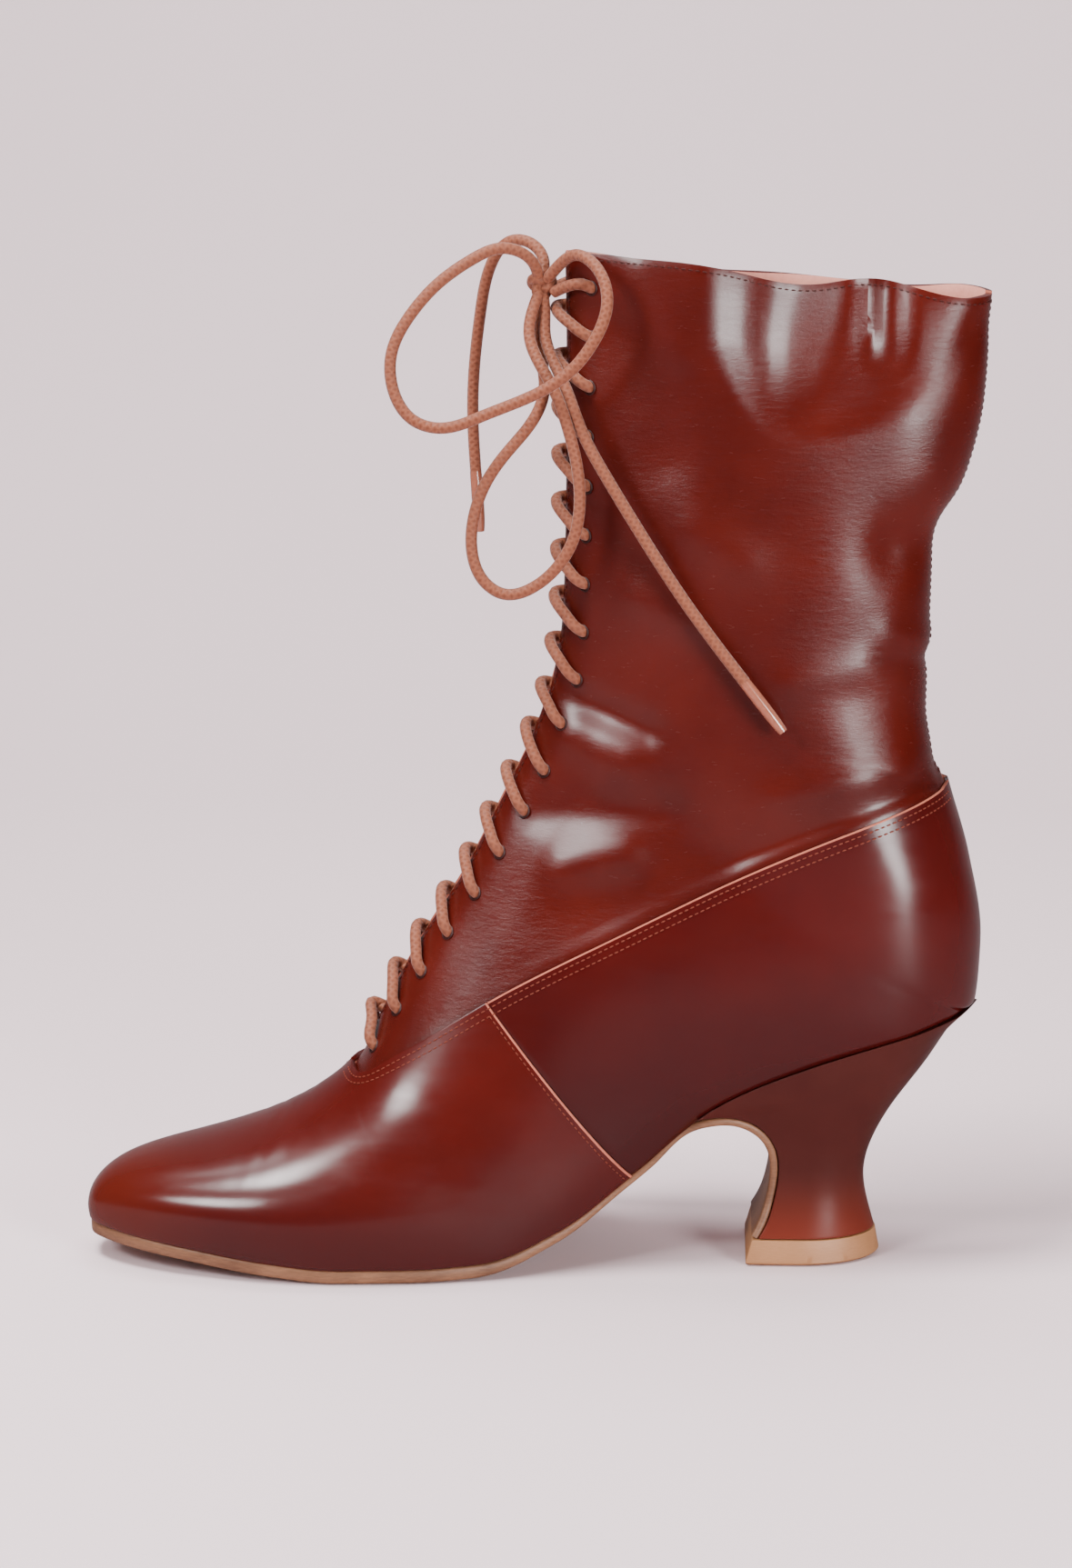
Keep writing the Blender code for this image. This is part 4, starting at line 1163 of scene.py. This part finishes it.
def strand_route(way, side, tied):
    """The route of one strand; the top pair is tied into the knot."""
    route = []
    for share, across, lift in STRAND_RISE[: 3 if tied else None]:
        s = up_the_front(way + share * CROSS_RISE * hole_space)
        route.append(shaft(s, across * hole_t(s), side, lift))
    if tied:
        end = KNOT + TO_KNOT[side]
        between = TIED_FROM * route[-1] + TIED_TO * end
        return [*route, between + (0.0, TIED_OUT * side, TIED_UP), end]
    high = up_the_front(way + CROSS_RISE * hole_space)
    route.append(last.lifted(high, 0.0, side, OVER if side < 0 else UNDER))
    for on, far, lift in STRAND_DIVE:
        s = up_the_front(way + (CROSS_RISE + on) * hole_space)
        route.append(last.lifted(s, last.slit_t(s) + far / last.girth_way(s), -side, lift))
    return route


strands = []
for way in hole_way:
    for side in (-1, 1):
        route = strand_route(way, side, way == hole_way[-1])
        strands.append(tube("strand", even_line(route, 1.0), LACE))
lacing = closed_tube("lacing", strands)
placed(lacing, "lace_cotton", *[f"lace_cross_{i:02d}" for i in range(1, HOLE_PAIRS + 1)])

# %% [markdown]
# ## The upper
#
# The upper is one shell: leather outside, pale lining inside, and a raw edge along the slit. Its
# foot part is covered by the foxing and shows only from inside, so it has fewer rows. A Mirror
# modifier could double one half, but the folds of the two sides differ, so both are laid.

# %% Upper
WALL, WALL_ROUNDING = 1.8, 0.3
CUTS = 9
FOOT_ROWS, FOOT_LINE = 10, 2.0
SHAFT_ROWS = 66
CROWDING = 0.4
# The collar's edge is folded over, so its top faces keep the calf of the outside.
FOLDED_ABOVE, FACING_UP = 0.26, 0.6


def mirrored(points, side):
    """Rows turned round on one side, so that the faces of both sides look out."""
    return points[:, ::-1] if side < 0 else points


def foot_grid(places, rows, line):
    """Places from the sole's edge up to the topline, the last row as narrow as its raw line."""
    top = foxing_t(places)[:, None]
    under = np.minimum(top + line / last.girth_way(places)[:, None], 1.0)
    share = np.linspace(0.0, 1.0, rows)[None, :]
    t = np.concatenate([1 - (1 - under) * share, top], axis=1)
    return places[:, None] + 0 * t, t


UPPER_SKINS = (SHAFT_CALF, LINING, RAW_EDGE)
sheets = []
foot_places = last.stations(0, FOXING_BACK, CUTS)
shaft_places = last.stations(THROAT, COLLAR, CUTS)
even = np.linspace(0.0, 1.0, SHAFT_ROWS + 1)
crowded = (1 - CROWDING) * even + CROWDING * (1 - np.cos(math.pi * even)) / 2
for side in (-1, 1):
    s, t = foot_grid(foot_places, FOOT_ROWS, FOOT_LINE)
    sheets.append(skinned(laid("foot", mirrored(last.point(s, t, side), side)), UPPER_SKINS))
    low = foxing_t(shaft_places)[:, None]
    high = last.slit_t(shaft_places)[:, None]
    t = low + (high - low) * crowded[None, :]
    s = shaft_places[:, None] + 0 * t
    sheets.append(skinned(laid("shaft", mirrored(shaft(s, t, side, 0.0 * t), side)), UPPER_SKINS))
upper = sewn("upper_leather", sheets)
walled(upper, WALL, INWARD, EDGE_SKIN)
for face in upper.data.polygons:
    high = face.normal.z > FACING_UP and face.center.z > FOLDED_ABOVE
    if high and face.material_index == EDGE_SKIN:
        face.material_index = FACE_SKIN
softened(upper, WALL_ROUNDING)
placed(upper, "upper_leather", "upper")

# %% [markdown]
# ## The foxing
#
# The vamp and the quarter lie over the upper. The vamp laps over the quarter at the side seam, so
# it is a little thicker, and its back edge is raw there. Both could be faces of the upper in
# another colour, but as pieces of their own they have a real edge that catches the light.

# %% Low relief of the foxing
# Lines across the vamp: x, width, height.
VAMP_LINES = ((-61.0, 1.1, -0.14), (-64.5, 1.4, -0.10), (-69.0, 1.2, -0.16), (-74.5, 1.6, -0.12))
LINE_BOW, LINE_REACH = 0.012, 24.0
LINE_WANDER, WANDER_LONG = 0.8, 4.1
FLAT_X, FLAT_Z, FLAT_WIDE, FLAT_HIGH, FLAT_DEEP = 98.0, 114.0, 9.0, 16.0, 0.40


def flexed(points):
    """Fine lines across the vamp, where the toes bend."""
    x, y = points[..., 0] + LINE_BOW * points[..., 1] ** 2 / 2, points[..., 1]
    height = 0.0 * x
    for at, width, rise in VAMP_LINES:
        wander = LINE_WANDER * np.sin(y / WANDER_LONG + at)
        line = rise * np.exp(-(((x - at + wander) / width) ** 2))
        height = height + line * np.exp(-((y / LINE_REACH) ** 2))
    return height


def pressed(points):
    """The flat of the counter beside the heel, where the quarter was pressed against the last."""
    across = (points[..., 0] - FLAT_X) / FLAT_WIDE
    along = (points[..., 2] - FLAT_Z) / FLAT_HIGH
    return FLAT_DEEP * np.exp(-(across**2) - along**2)


# %% Vamp and quarter
GAP = 0.3
VAMP_THICK, QUARTER_THICK = 1.3, 1.0
VAMP_ROUNDING, QUARTER_ROUNDING = 0.25, 0.2
VAMP_CUTS, QUARTER_CUTS = 14, 12
FOX_ROWS = 44
RAW_LINE, SEAM_LINE = 0.5, 0.6


def topline_faces(deep, side):
    """Faces of the narrow last column of a foot grid."""
    return [i * FOX_ROWS + (FOX_ROWS - 1 if side > 0 else 0) for i in range(deep - 1)]


def seam_faces(deep):
    """Faces of the last row of a foot grid."""
    return range((deep - 2) * FOX_ROWS, (deep - 1) * FOX_ROWS)


vamp_sheets, quarter_sheets = [], []
front_places = last.stations(0, SIDE_SEAM, VAMP_CUTS)
front_places[-1] -= GAP / 2
front_places[-2] = front_places[-1] - SEAM_LINE
back_places = last.stations(SIDE_SEAM, FOXING_BACK, QUARTER_CUTS)
back_places[0] += GAP / 2
for side in (-1, 1):
    s, t = foot_grid(front_places, FOX_ROWS, RAW_LINE)
    plain = last.lifted(s, t, side, GAP + 0 * t)
    relief = flexed(plain)[..., None] * last.normal(s, t, side)
    sheet = laid("vamp", mirrored(plain + relief, side))
    raw = seam_faces(len(front_places))
    vamp_sheets.append(skinned(sheet, (VAMP_CALF, LINING, RAW_EDGE), raw))
    s, t = foot_grid(back_places, FOX_ROWS, RAW_LINE)
    plain = last.lifted(s, t, side, GAP + 0 * t)
    relief = pressed(plain)[..., None] * last.normal(s, t, side)
    sheet = laid("quarter", mirrored(plain - relief, side))
    raw = topline_faces(len(back_places), side)
    quarter_sheets.append(skinned(sheet, (QUARTER_CALF, LINING, RAW_EDGE), raw))
vamp = sewn("vamp_leather", vamp_sheets)
walled(vamp, VAMP_THICK, OUTWARD, FACE_SKIN)
softened(vamp, VAMP_ROUNDING)
placed(vamp, "vamp_leather", "vamp")
quarter = sewn("quarter_leather", quarter_sheets)
walled(quarter, QUARTER_THICK, OUTWARD, FACE_SKIN)
softened(quarter, QUARTER_ROUNDING)
placed(quarter, "quarter_leather", "quarter")

# %% [markdown]
# ## The tongue
#
# A strip of leather lies behind the slit and shows between the strands. It follows the last at a
# fixed depth, so that the strands have room in front of it.

# %% Tongue
TONGUE_HALF, TONGUE_DEEP, TONGUE_THICK = 20.0, 5.6, 1.4
TONGUE_ROUNDING = 0.2
TONGUE_STEPS, TONGUE_CUTS = 12, 6
BELOW_THROAT, BELOW_COLLAR = 4, 3
places = last.stations(THROAT - 1, COLLAR, TONGUE_CUTS)[BELOW_THROAT:-BELOW_COLLAR]
steps = np.linspace(-TONGUE_HALF, TONGUE_HALF, 2 * TONGUE_STEPS + 1)
rows = []
for s in places:
    t = np.abs(steps) / last.girth_way(s)
    halves = []
    for side, part in ((-1, t[: TONGUE_STEPS + 1]), (1, t[TONGUE_STEPS + 1 :])):
        halves.append(last.lifted(s + 0 * part, part, side, -TONGUE_DEEP + 0 * part))
    rows.append(np.concatenate(halves))
sheet = laid("tongue", np.array(rows)[:, ::-1])
# The tongue's calf is painted dark: painted shade.
tongue = sewn("tongue_leather", [skinned(sheet, (TONGUE_PAINTED_SHADE_CALF, LINING, RAW_EDGE))])
walled(tongue, TONGUE_THICK, INWARD, EDGE_SKIN)
softened(tongue, TONGUE_ROUNDING)
placed(tongue, "tongue_leather", "tongue")

# %% [markdown]
# ## Sole, heel and top piece
#
# The sole is a thin slab of tan leather that turns down the breast of the heel as a flap. It is
# lofted: a few rings drawn from the last and the tables, smooth curves through their corners, and
# a grid laid over the rings.

# %% Rings of the sole
SOLE_THICK, WAIST_THICK = 3.7, 2.7
WAIST_FROM_TO = (-15.0, 20.0)
SOLE_OUT, SOLE_TOP_GAP, SOLE_CUTS = 1.0, 0.7, 6
FLAP_THICK = 2.2
FLAP_STARTS_X = 37.0
# Outside of the flap, down the breast of the heel: x, z, half width, middle.
FLAP = (
    (44.0, 38.0, 22.6, 4.0), (50.0, 40.0, 21.4, 3.0), (56.0, 40.2, 19.8, 2.0),
    (61.0, 38.4, 18.0, 1.1), (65.0, 34.5, 15.8, 0.4), (66.7, 29.5, 13.9, 0.0),
    (66.8, 24.0, 13.0, 0.0), (65.8, 18.0, 13.2, 0.0), (63.9, 12.0, 14.8, 0.0),
    (61.9, 8.1, 16.0, 0.0),
)


def outline(places, out):
    """The sole's edge at these places, moved out by so much: its inner and its outer side."""
    inner = last.point(places, np.ones(len(places)), -1)
    outer = last.point(places, np.ones(len(places)), 1)
    loop = np.concatenate([inner, outer[-2:0:-1]])
    along = np.roll(loop, -1, axis=0) - np.roll(loop, 1, axis=0)
    away = np.stack([along[:, 1], -along[:, 0], 0 * along[:, 0]], axis=1)
    loop = loop + out * away / np.linalg.norm(away, axis=1)[:, None]
    return loop[: len(places)], np.concatenate([loop[:1], loop[: len(places) - 2 : -1]])


def sole_corners():
    """Inner top, outer top, inner bottom and outer bottom corner of each ring."""
    places = last.stations(0, HEEL_BACK, SOLE_CUTS)
    inner, outer = outline(places, SOLE_OUT)
    corners = []
    for a, b in zip(inner, outer):
        if a[0] > FLAP_STARTS_X:
            break
        thick = np.interp(a[0], WAIST_FROM_TO, (SOLE_THICK, WAIST_THICK))
        down = np.array((0.0, 0.0, SOLE_TOP_GAP))
        low = [np.array((*p[:2], max(p[2] - SOLE_TOP_GAP - thick, 0.0))) for p in (a, b)]
        corners.append((a - down, b - down, *low))
    table = np.array(FLAP)
    ahead = np.gradient(table[:, :2], axis=0)
    ahead /= np.linalg.norm(ahead, axis=1)[:, None]
    for (x, z, half, middle), (dx, dz) in zip(table, ahead):
        back = np.array((x - dz * FLAP_THICK, z + dx * FLAP_THICK))
        corners.append(tuple(
            np.array((p[0], middle + side * half, p[1])) for p in (back, (x, z)) for side in (-1, 1)
        ))
    return np.array(corners)


# %% Sole
SOLE_RINGS = 190
EDGE_SHARES = np.array((0.0, 0.06, 0.2, 0.4, 0.6, 0.8, 0.94, 1.0))
EDGE_BULGE = np.array((-0.9, -0.1, 0.6, 1.0, 1.0, 0.6, -0.1, -0.9))
EDGE_SWELL, SWELL_OF_WIDTH = 0.35, 0.2
BETWEEN = np.array((0.2, 0.4, 0.6, 0.8))[:, None]


def loft(keys, count):
    """Rings between key rings, on smooth curves through each of their points."""
    way = np.linalg.norm(np.diff(keys, axis=0), axis=-1).mean(axis=1)
    way = np.concatenate([[0.0], np.cumsum(np.maximum(way, 1e-3))])
    return natural(way, keys)(np.linspace(0.0, way[-1], count))


def edge_profile(top, low, outward, swell):
    """Points down a rounded edge, from its top corner to its bottom corner."""
    bulge = swell * EDGE_BULGE
    return top + (low - top) * EDGE_SHARES[:, None] + outward * bulge[:, None]


rings = []
for top_a, top_b, low_a, low_b in loft(sole_corners(), SOLE_RINGS):
    wide = np.linalg.norm(top_b - top_a)
    out = (top_b - top_a) / wide if wide > 0.05 else np.array((0.0, 1.0, 0.0))
    swell = min(EDGE_SWELL, SWELL_OF_WIDTH * wide)
    near = edge_profile(top_a, low_a, -out, swell)
    far = edge_profile(top_b, low_b, out, swell)[::-1]
    under = near[-1] + (far[0] - near[-1]) * BETWEEN
    over = far[-1] + (near[0] - far[-1]) * BETWEEN
    rings.append(np.concatenate([near, under, far, over, near[:1]]))
sole = filled(sewn("sole", [laid("sole_grid", np.array(rings))]), 40, SOLE_LEATHER)
smoothed(sole, 50.0)
placed(sole, "sole_leather", "outsole")

# %% [markdown]
# The heel is a block covered with calf, narrow in the middle and hollowed at the breast. Its rings
# are D-shaped at the bottom and take on the outline of the seat further up.

# %% Rings of the heel
SEAT_GAP, SEAT_OUT, SEAT_CUTS = 0.6, 2.5, 12
SEAT_SHARES = (0.0, 0.0, 0.0, 0.0, 0.05, 0.2, 0.45, 0.7, 0.9)
HEEL_STARTS_X = 46.5
HEEL_STRAIGHT = 0.36
# front x, front z, back x, back z, half width
HEEL = (
    (63.8, 7.3, 96.5, 7.3, 17.0), (66.2, 11.5, 94.9, 13.0, 15.6),
    (68.2, 18.0, 93.5, 20.0, 14.0), (69.2, 24.0, 93.6, 25.5, 13.8),
    (69.1, 29.8, 95.2, 31.5, 14.5), (67.2, 35.3, 98.8, 39.0, 16.5),
    (62.8, 40.2, 104.5, 47.5, 19.5), (56.6, 42.5, 111.5, 57.0, 22.3),
    (51.0, 42.8, 117.4, 66.0, 24.6),
)
HEEL_TURN = np.sin(np.linspace(0.0, 0.5 * math.pi, 22))
HEEL_SHARES = np.concatenate([
    np.linspace(0.0, HEEL_STRAIGHT, 8)[:-1], HEEL_STRAIGHT + (1 - HEEL_STRAIGHT) * HEEL_TURN,
])


def d_shape(share):
    """Half width of a D-shaped ring, from its straight front (0) to its round back (1)."""
    bent = np.clip((share - HEEL_STRAIGHT) / (1.0 - HEEL_STRAIGHT), 0.0, 1.0)
    return np.sqrt(1.0 - bent**2)


def d_ring(front, back, half, seat=None, share=0.0):
    """A D-shaped ring, or one that has taken on a share of the seat's outline."""
    line = np.asarray(front) + (np.asarray(back) - front) * HEEL_SHARES[:, None]
    inner_y = -half * d_shape(HEEL_SHARES)
    outer_y = -inner_y
    if share:
        size = half / np.abs(seat[0][:, 1] - seat[1][:, 1]).max() * 2.0
        inner_y = inner_y * (1 - share) + seat[0][:, 1] * size * share
        outer_y = outer_y * (1 - share) + seat[1][:, 1] * size * share
    inner = np.stack([line[:, 0], inner_y, line[:, 1]], axis=1)
    outer = np.stack([line[:, 0], outer_y, line[:, 1]], axis=1)
    return np.concatenate([inner, outer[-2::-1]])


def capped(name, rings, skin, round_edge):
    """A solid through rings: a grid round them, both ends filled, its sharp edges rounded."""
    rings = np.concatenate([rings, rings[:, :1]], axis=1)
    thing = filled(sewn(name, [laid(name, rings)]), 400, skin)
    softened(thing, round_edge, 3, 55.0)
    return thing


# %% Heel
HEEL_RINGS, HEEL_ROUNDING = 72, 0.35
inner, outer = outline(last.stations(0, HEEL_BACK, SEAT_CUTS), SEAT_OUT)
seat = []
for line in (inner, outer):
    x = HEEL_STARTS_X + (inner[-1][0] - HEEL_STARTS_X) * HEEL_SHARES
    seat.append(np.stack([
        x, np.interp(x, line[:, 0], line[:, 1]), np.interp(x, line[:, 0], line[:, 2]) - SEAT_GAP,
    ], axis=1))
keys = [
    d_ring((fx, fz), (bx, bz), half, seat, share)
    for (fx, fz, bx, bz, half), share in zip(HEEL, SEAT_SHARES)
]
keys.append(np.concatenate([seat[0], seat[1][-2::-1]]))
heel = capped("heel_cover", loft(np.array(keys), HEEL_RINGS), HEEL_CALF, HEEL_ROUNDING)
placed(heel, "heel_leather", "heel")

# %% [markdown]
# The top piece is the layer under the heel that wears and is replaced. It has the same D shape, a
# little wider at its foot. The insole, the board that the foot stands on, already has its shape
# in the solid model, so it only gets a finish.

# %% Top piece
TOP_PIECE_ROUNDING = 0.25
# front x, back x, half width, z
TOP_PIECE = (
    (60.9, 97.3, 17.3, 0.0), (60.2, 98.0, 18.0, 0.6),
    (60.9, 97.5, 17.7, 3.0), (62.0, 96.8, 17.2, 7.0),
)
rings = np.array([d_ring((front, z), (back, z), half) for front, back, half, z in TOP_PIECE])
top_piece = capped("top_piece_cover", rings, TOP_PIECE_LEATHER, TOP_PIECE_ROUNDING)
placed(top_piece, "top_piece_leather", "top_piece")

# %% Insole
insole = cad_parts["insole"]
insole.data.materials.clear()
insole.data.materials.append(INSOLE_LEATHER)
print("insole keeps its solid shape")

# %% [markdown]
# ## Stitches
#
# A stitch is a short bead of thread. One is modelled from a sphere, and copies of it are laid
# along lines that keep a fixed distance from an edge. A bump in the material would be less work,
# but it looks flat from the side.

# %% One stitch
STITCH_LONG, STITCH_THICK = 1.25, 0.42
THREAD_LIFT, THREAD_FEEL = 0.05, 0.4


def taken(thing):
    """The points and faces of a small shape, which is then put away."""
    points = np.array([v.co[:] for v in thing.data.vertices])
    faces = [tuple(f.vertices) for f in thing.data.polygons]
    bpy.data.objects.remove(thing)
    return points, faces


bpy.ops.object.select_all(action="DESELECT")
bpy.ops.mesh.primitive_uv_sphere_add(
    segments=6, ring_count=5, radius=0.5, rotation=(0.0, math.radians(90.0), 0.0)
)
bpy.ops.object.transform_apply(location=True, rotation=True, scale=True)
bpy.ops.object.mode_set(mode="EDIT")
bpy.ops.mesh.select_all(action="SELECT")
bpy.ops.transform.resize(value=(STITCH_LONG, STITCH_THICK, STITCH_THICK))
bpy.ops.object.mode_set(mode="OBJECT")
BEAD = taken(bpy.context.object)
print("faces of a stitch:", len(BEAD[1]))


# %% Copies of a small shape
def copied(name, shape, places, skin):
    """One piece of copies of a shape, each at a spot and turned to its own three axes."""
    points, faces = [], []
    for spot, axes in places:
        start = len(points)
        points += list(spot + shape[0] @ np.stack(axes))
        faces += [tuple(start + i for i in face) for face in shape[1]]
    mesh = bpy.data.meshes.new(name)
    mesh.from_pydata([tuple(p * MM) for p in points], [], faces)
    mesh.materials.append(skin)
    thing = bpy.data.objects.new(name, mesh)
    bpy.context.scene.collection.objects.link(thing)
    smoothed(thing, 80.0)
    return thing


def stitched(name, lines, pitch, thread):
    """One piece of all the stitches along lines of (points, normals)."""
    places = []
    for line, out in lines:
        way = way_along(line)
        count = max(2, int(way[-1] / pitch))
        at = (np.arange(count) + 0.5) * way[-1] / count
        ahead = at_ways(line, way, at + THREAD_FEEL) - at_ways(line, way, at - THREAD_FEEL)
        for spot, a, up in zip(at_ways(line, way, at), ahead, at_ways(out, way, at)):
            a = a / np.linalg.norm(a)
            b = np.cross(up, a)
            b /= np.linalg.norm(b)
            places.append((spot, (a, b, np.cross(a, b))))
    thing = copied(name, BEAD, places, thread)
    thing.data.uv_layers.new(name="UVMap")
    return placed(thing, "lace_cotton")


# %% Lines of stitches on the foxing
ROW_OFFSETS = (1.7, 3.7)
SEAM_OFFSET = 1.9
FOXING_PITCH = 1.75


def beside(s, t, side, far):
    """A line on the foxing that runs beside another at a fixed distance, with the way out of it."""
    here = last.point(s, t, side)
    ahead = np.gradient(here, axis=0)
    ahead /= np.linalg.norm(ahead, axis=1, keepdims=True)
    away = np.cross(last.normal(s, t, side), ahead)
    return on_foxing(*last.walk(s, t, side, away * far), side)


def on_foxing(s, t, side):
    """A line on the vamp and the quarter, with the way out of them."""
    thick = np.where(s < last.rows[SIDE_SEAM], GAP + VAMP_THICK, GAP + QUARTER_THICK)
    return last.lifted(s, t, side, thick + THREAD_LIFT), last.normal(s, t, side)


edge_places = np.linspace(last.rows[THROAT] + 0.4, last.rows[FOXING_BACK] - 0.6, 320)
seam_t = np.linspace(foxing_t(last.rows[SIDE_SEAM]) + 0.03, 0.99, 60)
seam_s = np.full(60, last.rows[SIDE_SEAM] - SEAM_OFFSET)
lines = []
for side in (-1, 1):
    for far in ROW_OFFSETS:
        lines.append(beside(edge_places, foxing_t(edge_places), side, side * far))
    lines.append(on_foxing(seam_s, seam_t, side))
stitched("foxing_stitches", lines, FOXING_PITCH, THREAD)

# %% Lines of stitches on the shaft
COLLAR_OFFSET, SLIT_OFFSET, BACK_OFFSET = 1.6, 1.6, 1.3
SHAFT_PITCH = 1.9


def on_shaft(s, t, side):
    """A line on the folded shaft, with the way out of it."""
    return shaft(s, t, side, THREAD_LIFT + 0 * t), last.normal(s, t, side)


collar_t = np.linspace(0.06, 0.985, 160)
collar_s = np.full(160, last.rows[COLLAR] - COLLAR_OFFSET)
slit_s = np.linspace(last.rows[THROAT + 1], last.rows[COLLAR] - 3.0, 200)
slit_t = last.slit_t(slit_s) + SLIT_OFFSET / last.girth_way(slit_s)
back_s = np.linspace(last.rows[FOXING_BACK] + 2.0, last.rows[COLLAR] - 1.0, 160)
back_t = 1 - BACK_OFFSET / last.girth_way(back_s)
lines = []
for side in (-1, 1):
    for s, t in ((collar_s, collar_t), (slit_s, slit_t), (back_s, back_t)):
        lines.append(on_shaft(s, t, side))
stitched("shaft_stitches", lines, SHAFT_PITCH, DARK_THREAD)

# %% [markdown]
# ## Punched holes
#
# The holes have no metal. A punch leaves a small round edge; here it is drawn much darker than the
# leather, as painted shade where the strands go in, so one thin torus is modelled and copied to
# every hole.

# %% Edges of the holes
HOLE_RADIUS, EDGE_RADIUS = 1.85, 0.30
bpy.ops.object.select_all(action="DESELECT")
bpy.ops.mesh.primitive_torus_add(
    major_segments=18, minor_segments=5, major_radius=HOLE_RADIUS, minor_radius=EDGE_RADIUS
)
RIM = taken(bpy.context.object)
places = []
for s in up_the_front(hole_way):
    for side in (-1, 1):
        out = last.normal(s, hole_t(s), side)
        across = np.cross(out, (0.0, 0.0, 1.0))
        across /= np.linalg.norm(across)
        places.append((shaft(s, hole_t(s), side, 0.0), (across, np.cross(out, across), out)))
# The rings wear the darkened tongue calf: painted shade round each hole, where the strands go in.
hole_edges = copied("hole_edges", RIM, places, TONGUE_PAINTED_SHADE_CALF)
placed(hole_edges, "upper_leather")

# %% [markdown]
# ## Floor and light
#
# The floor runs back and curves up into the wall, so no horizon shows. A photographer cuts the
# floor's glare on polished leather with a filter; here the floor's material looks darker to
# mirroring rays only. From behind, the paper can be seen through, so that the boot can be looked
# at from any side. Large soft lights stand above and at both sides, and one lights the wall.

# %% Shape of the floor
FLOOR_SIZE, FLOOR_AT = 3.6, (0.0, -0.2, -0.0004)
WALL_HIGH, WALL_ROUND = 4.0, 1.0
BACK_EDGE = 1.0


def pick_edges(thing, wanted):
    """Selects the edges whose two ends are both wanted, and goes into edit mode."""
    bpy.ops.object.mode_set(mode="EDIT")
    bpy.ops.mesh.select_mode(type="EDGE")
    bpy.ops.mesh.select_all(action="DESELECT")
    bpy.ops.object.mode_set(mode="OBJECT")
    for edge in thing.data.edges:
        edge.select = all(wanted(thing.data.vertices[i].co) for i in edge.vertices)
    bpy.ops.object.mode_set(mode="EDIT")


bpy.ops.object.select_all(action="DESELECT")
bpy.ops.mesh.primitive_plane_add(size=FLOOR_SIZE, location=FLOOR_AT)
floor = bpy.context.object
floor.name = "floor"
bpy.ops.object.transform_apply(location=True, rotation=True, scale=True)
pick_edges(floor, lambda p: p.y > BACK_EDGE)
bpy.ops.mesh.extrude_region_move(TRANSFORM_OT_translate={"value": (0.0, 0.0, WALL_HIGH)})
bpy.ops.object.mode_set(mode="OBJECT")
pick_edges(floor, lambda p: p.y > BACK_EDGE and p.z < 0.5)
bpy.ops.mesh.bevel(offset=WALL_ROUND, segments=24)
bpy.ops.object.mode_set(mode="OBJECT")
smoothed(floor, 60.0)
print("floor faces:", len(floor.data.polygons))

# %% Paper of the floor
GLARE_CUT = 0.82
paper, tree, shader = new_finish("floor_paper")
shade = node(tree, "ShaderNodeTexNoise", Vector=spots(tree), Scale=3.0, Detail=2.0)
tint = blended(tree, shade.outputs["Fac"], (0.780, 0.625, 0.655, 1.0), (0.805, 0.645, 0.676, 1.0))
mirrors = node(tree, "ShaderNodeLightPath").outputs["Is Glossy Ray"]
mirrors = worked(tree, "MULTIPLY", mirrors, GLARE_CUT)
feed(tree, shader.inputs["Base Color"], blended(tree, mirrors, tint, (0.02, 0.02, 0.02, 1.0)))
shader.inputs["Roughness"].default_value = 0.6
seen = node(tree, "ShaderNodeMixShader")
feed(tree, seen.inputs[0], node(tree, "ShaderNodeNewGeometry").outputs["Backfacing"])
feed(tree, seen.inputs[1], shader.outputs[0])
feed(tree, seen.inputs[2], node(tree, "ShaderNodeBsdfTransparent").outputs[0])
feed(tree, tree.nodes["Material Output"].inputs["Surface"], seen.outputs[0])
floor.data.materials.append(paper)

# %% Lights
# name, place, target, width, height, power in watts
LIGHTS = (
    ("above", (-0.40, -0.26, 1.26), (0.0, 0.0, 0.13), 0.50, 0.46, 28.0),
    ("left", (-0.74, -0.74, 0.80), (0.0, 0.0, 0.15), 0.40, 0.32, 10.5),
    ("right", (0.76, -0.98, 0.36), (0.05, 0.0, 0.14), 0.42, 0.58, 19.0),
    ("wall", (0.0, 0.55, 2.30), (0.0, 1.25, 0.20), 2.4, 1.0, 48.0),
)
for name, place, target, wide, high, power in LIGHTS:
    bpy.ops.object.light_add(type="AREA", location=place)
    lamp = bpy.context.object
    lamp.name = name
    lamp.data.shape = "ELLIPSE"
    lamp.data.size, lamp.data.size_y = wide, high
    lamp.data.energy = power
    aim(lamp, target)
print("lights:", len(LIGHTS))

# %% [markdown]
# The room itself is almost dark, so that the large lights shape the gloss. Only the camera sees a
# pale sky where the paper ends.

# %% Room
world = bpy.data.worlds.new("studio")
bpy.context.scene.world = world
world.use_nodes = True
tree = world.node_tree
room = tree.nodes["Background"]
room.inputs["Color"].default_value = (0.93, 0.92, 0.93, 1.0)
room.inputs["Strength"].default_value = 0.06
pale = node(tree, "ShaderNodeBackground", Color=(0.80, 0.64, 0.67, 1.0), Strength=1.6)
sky = node(tree, "ShaderNodeMixShader")
feed(tree, sky.inputs[0], node(tree, "ShaderNodeLightPath").outputs["Is Camera Ray"])
feed(tree, sky.inputs[1], room.outputs[0])
feed(tree, sky.inputs[2], pale.outputs[0])
feed(tree, tree.nodes["World Output"].inputs["Surface"], sky.outputs[0])
print("world:", world.name)
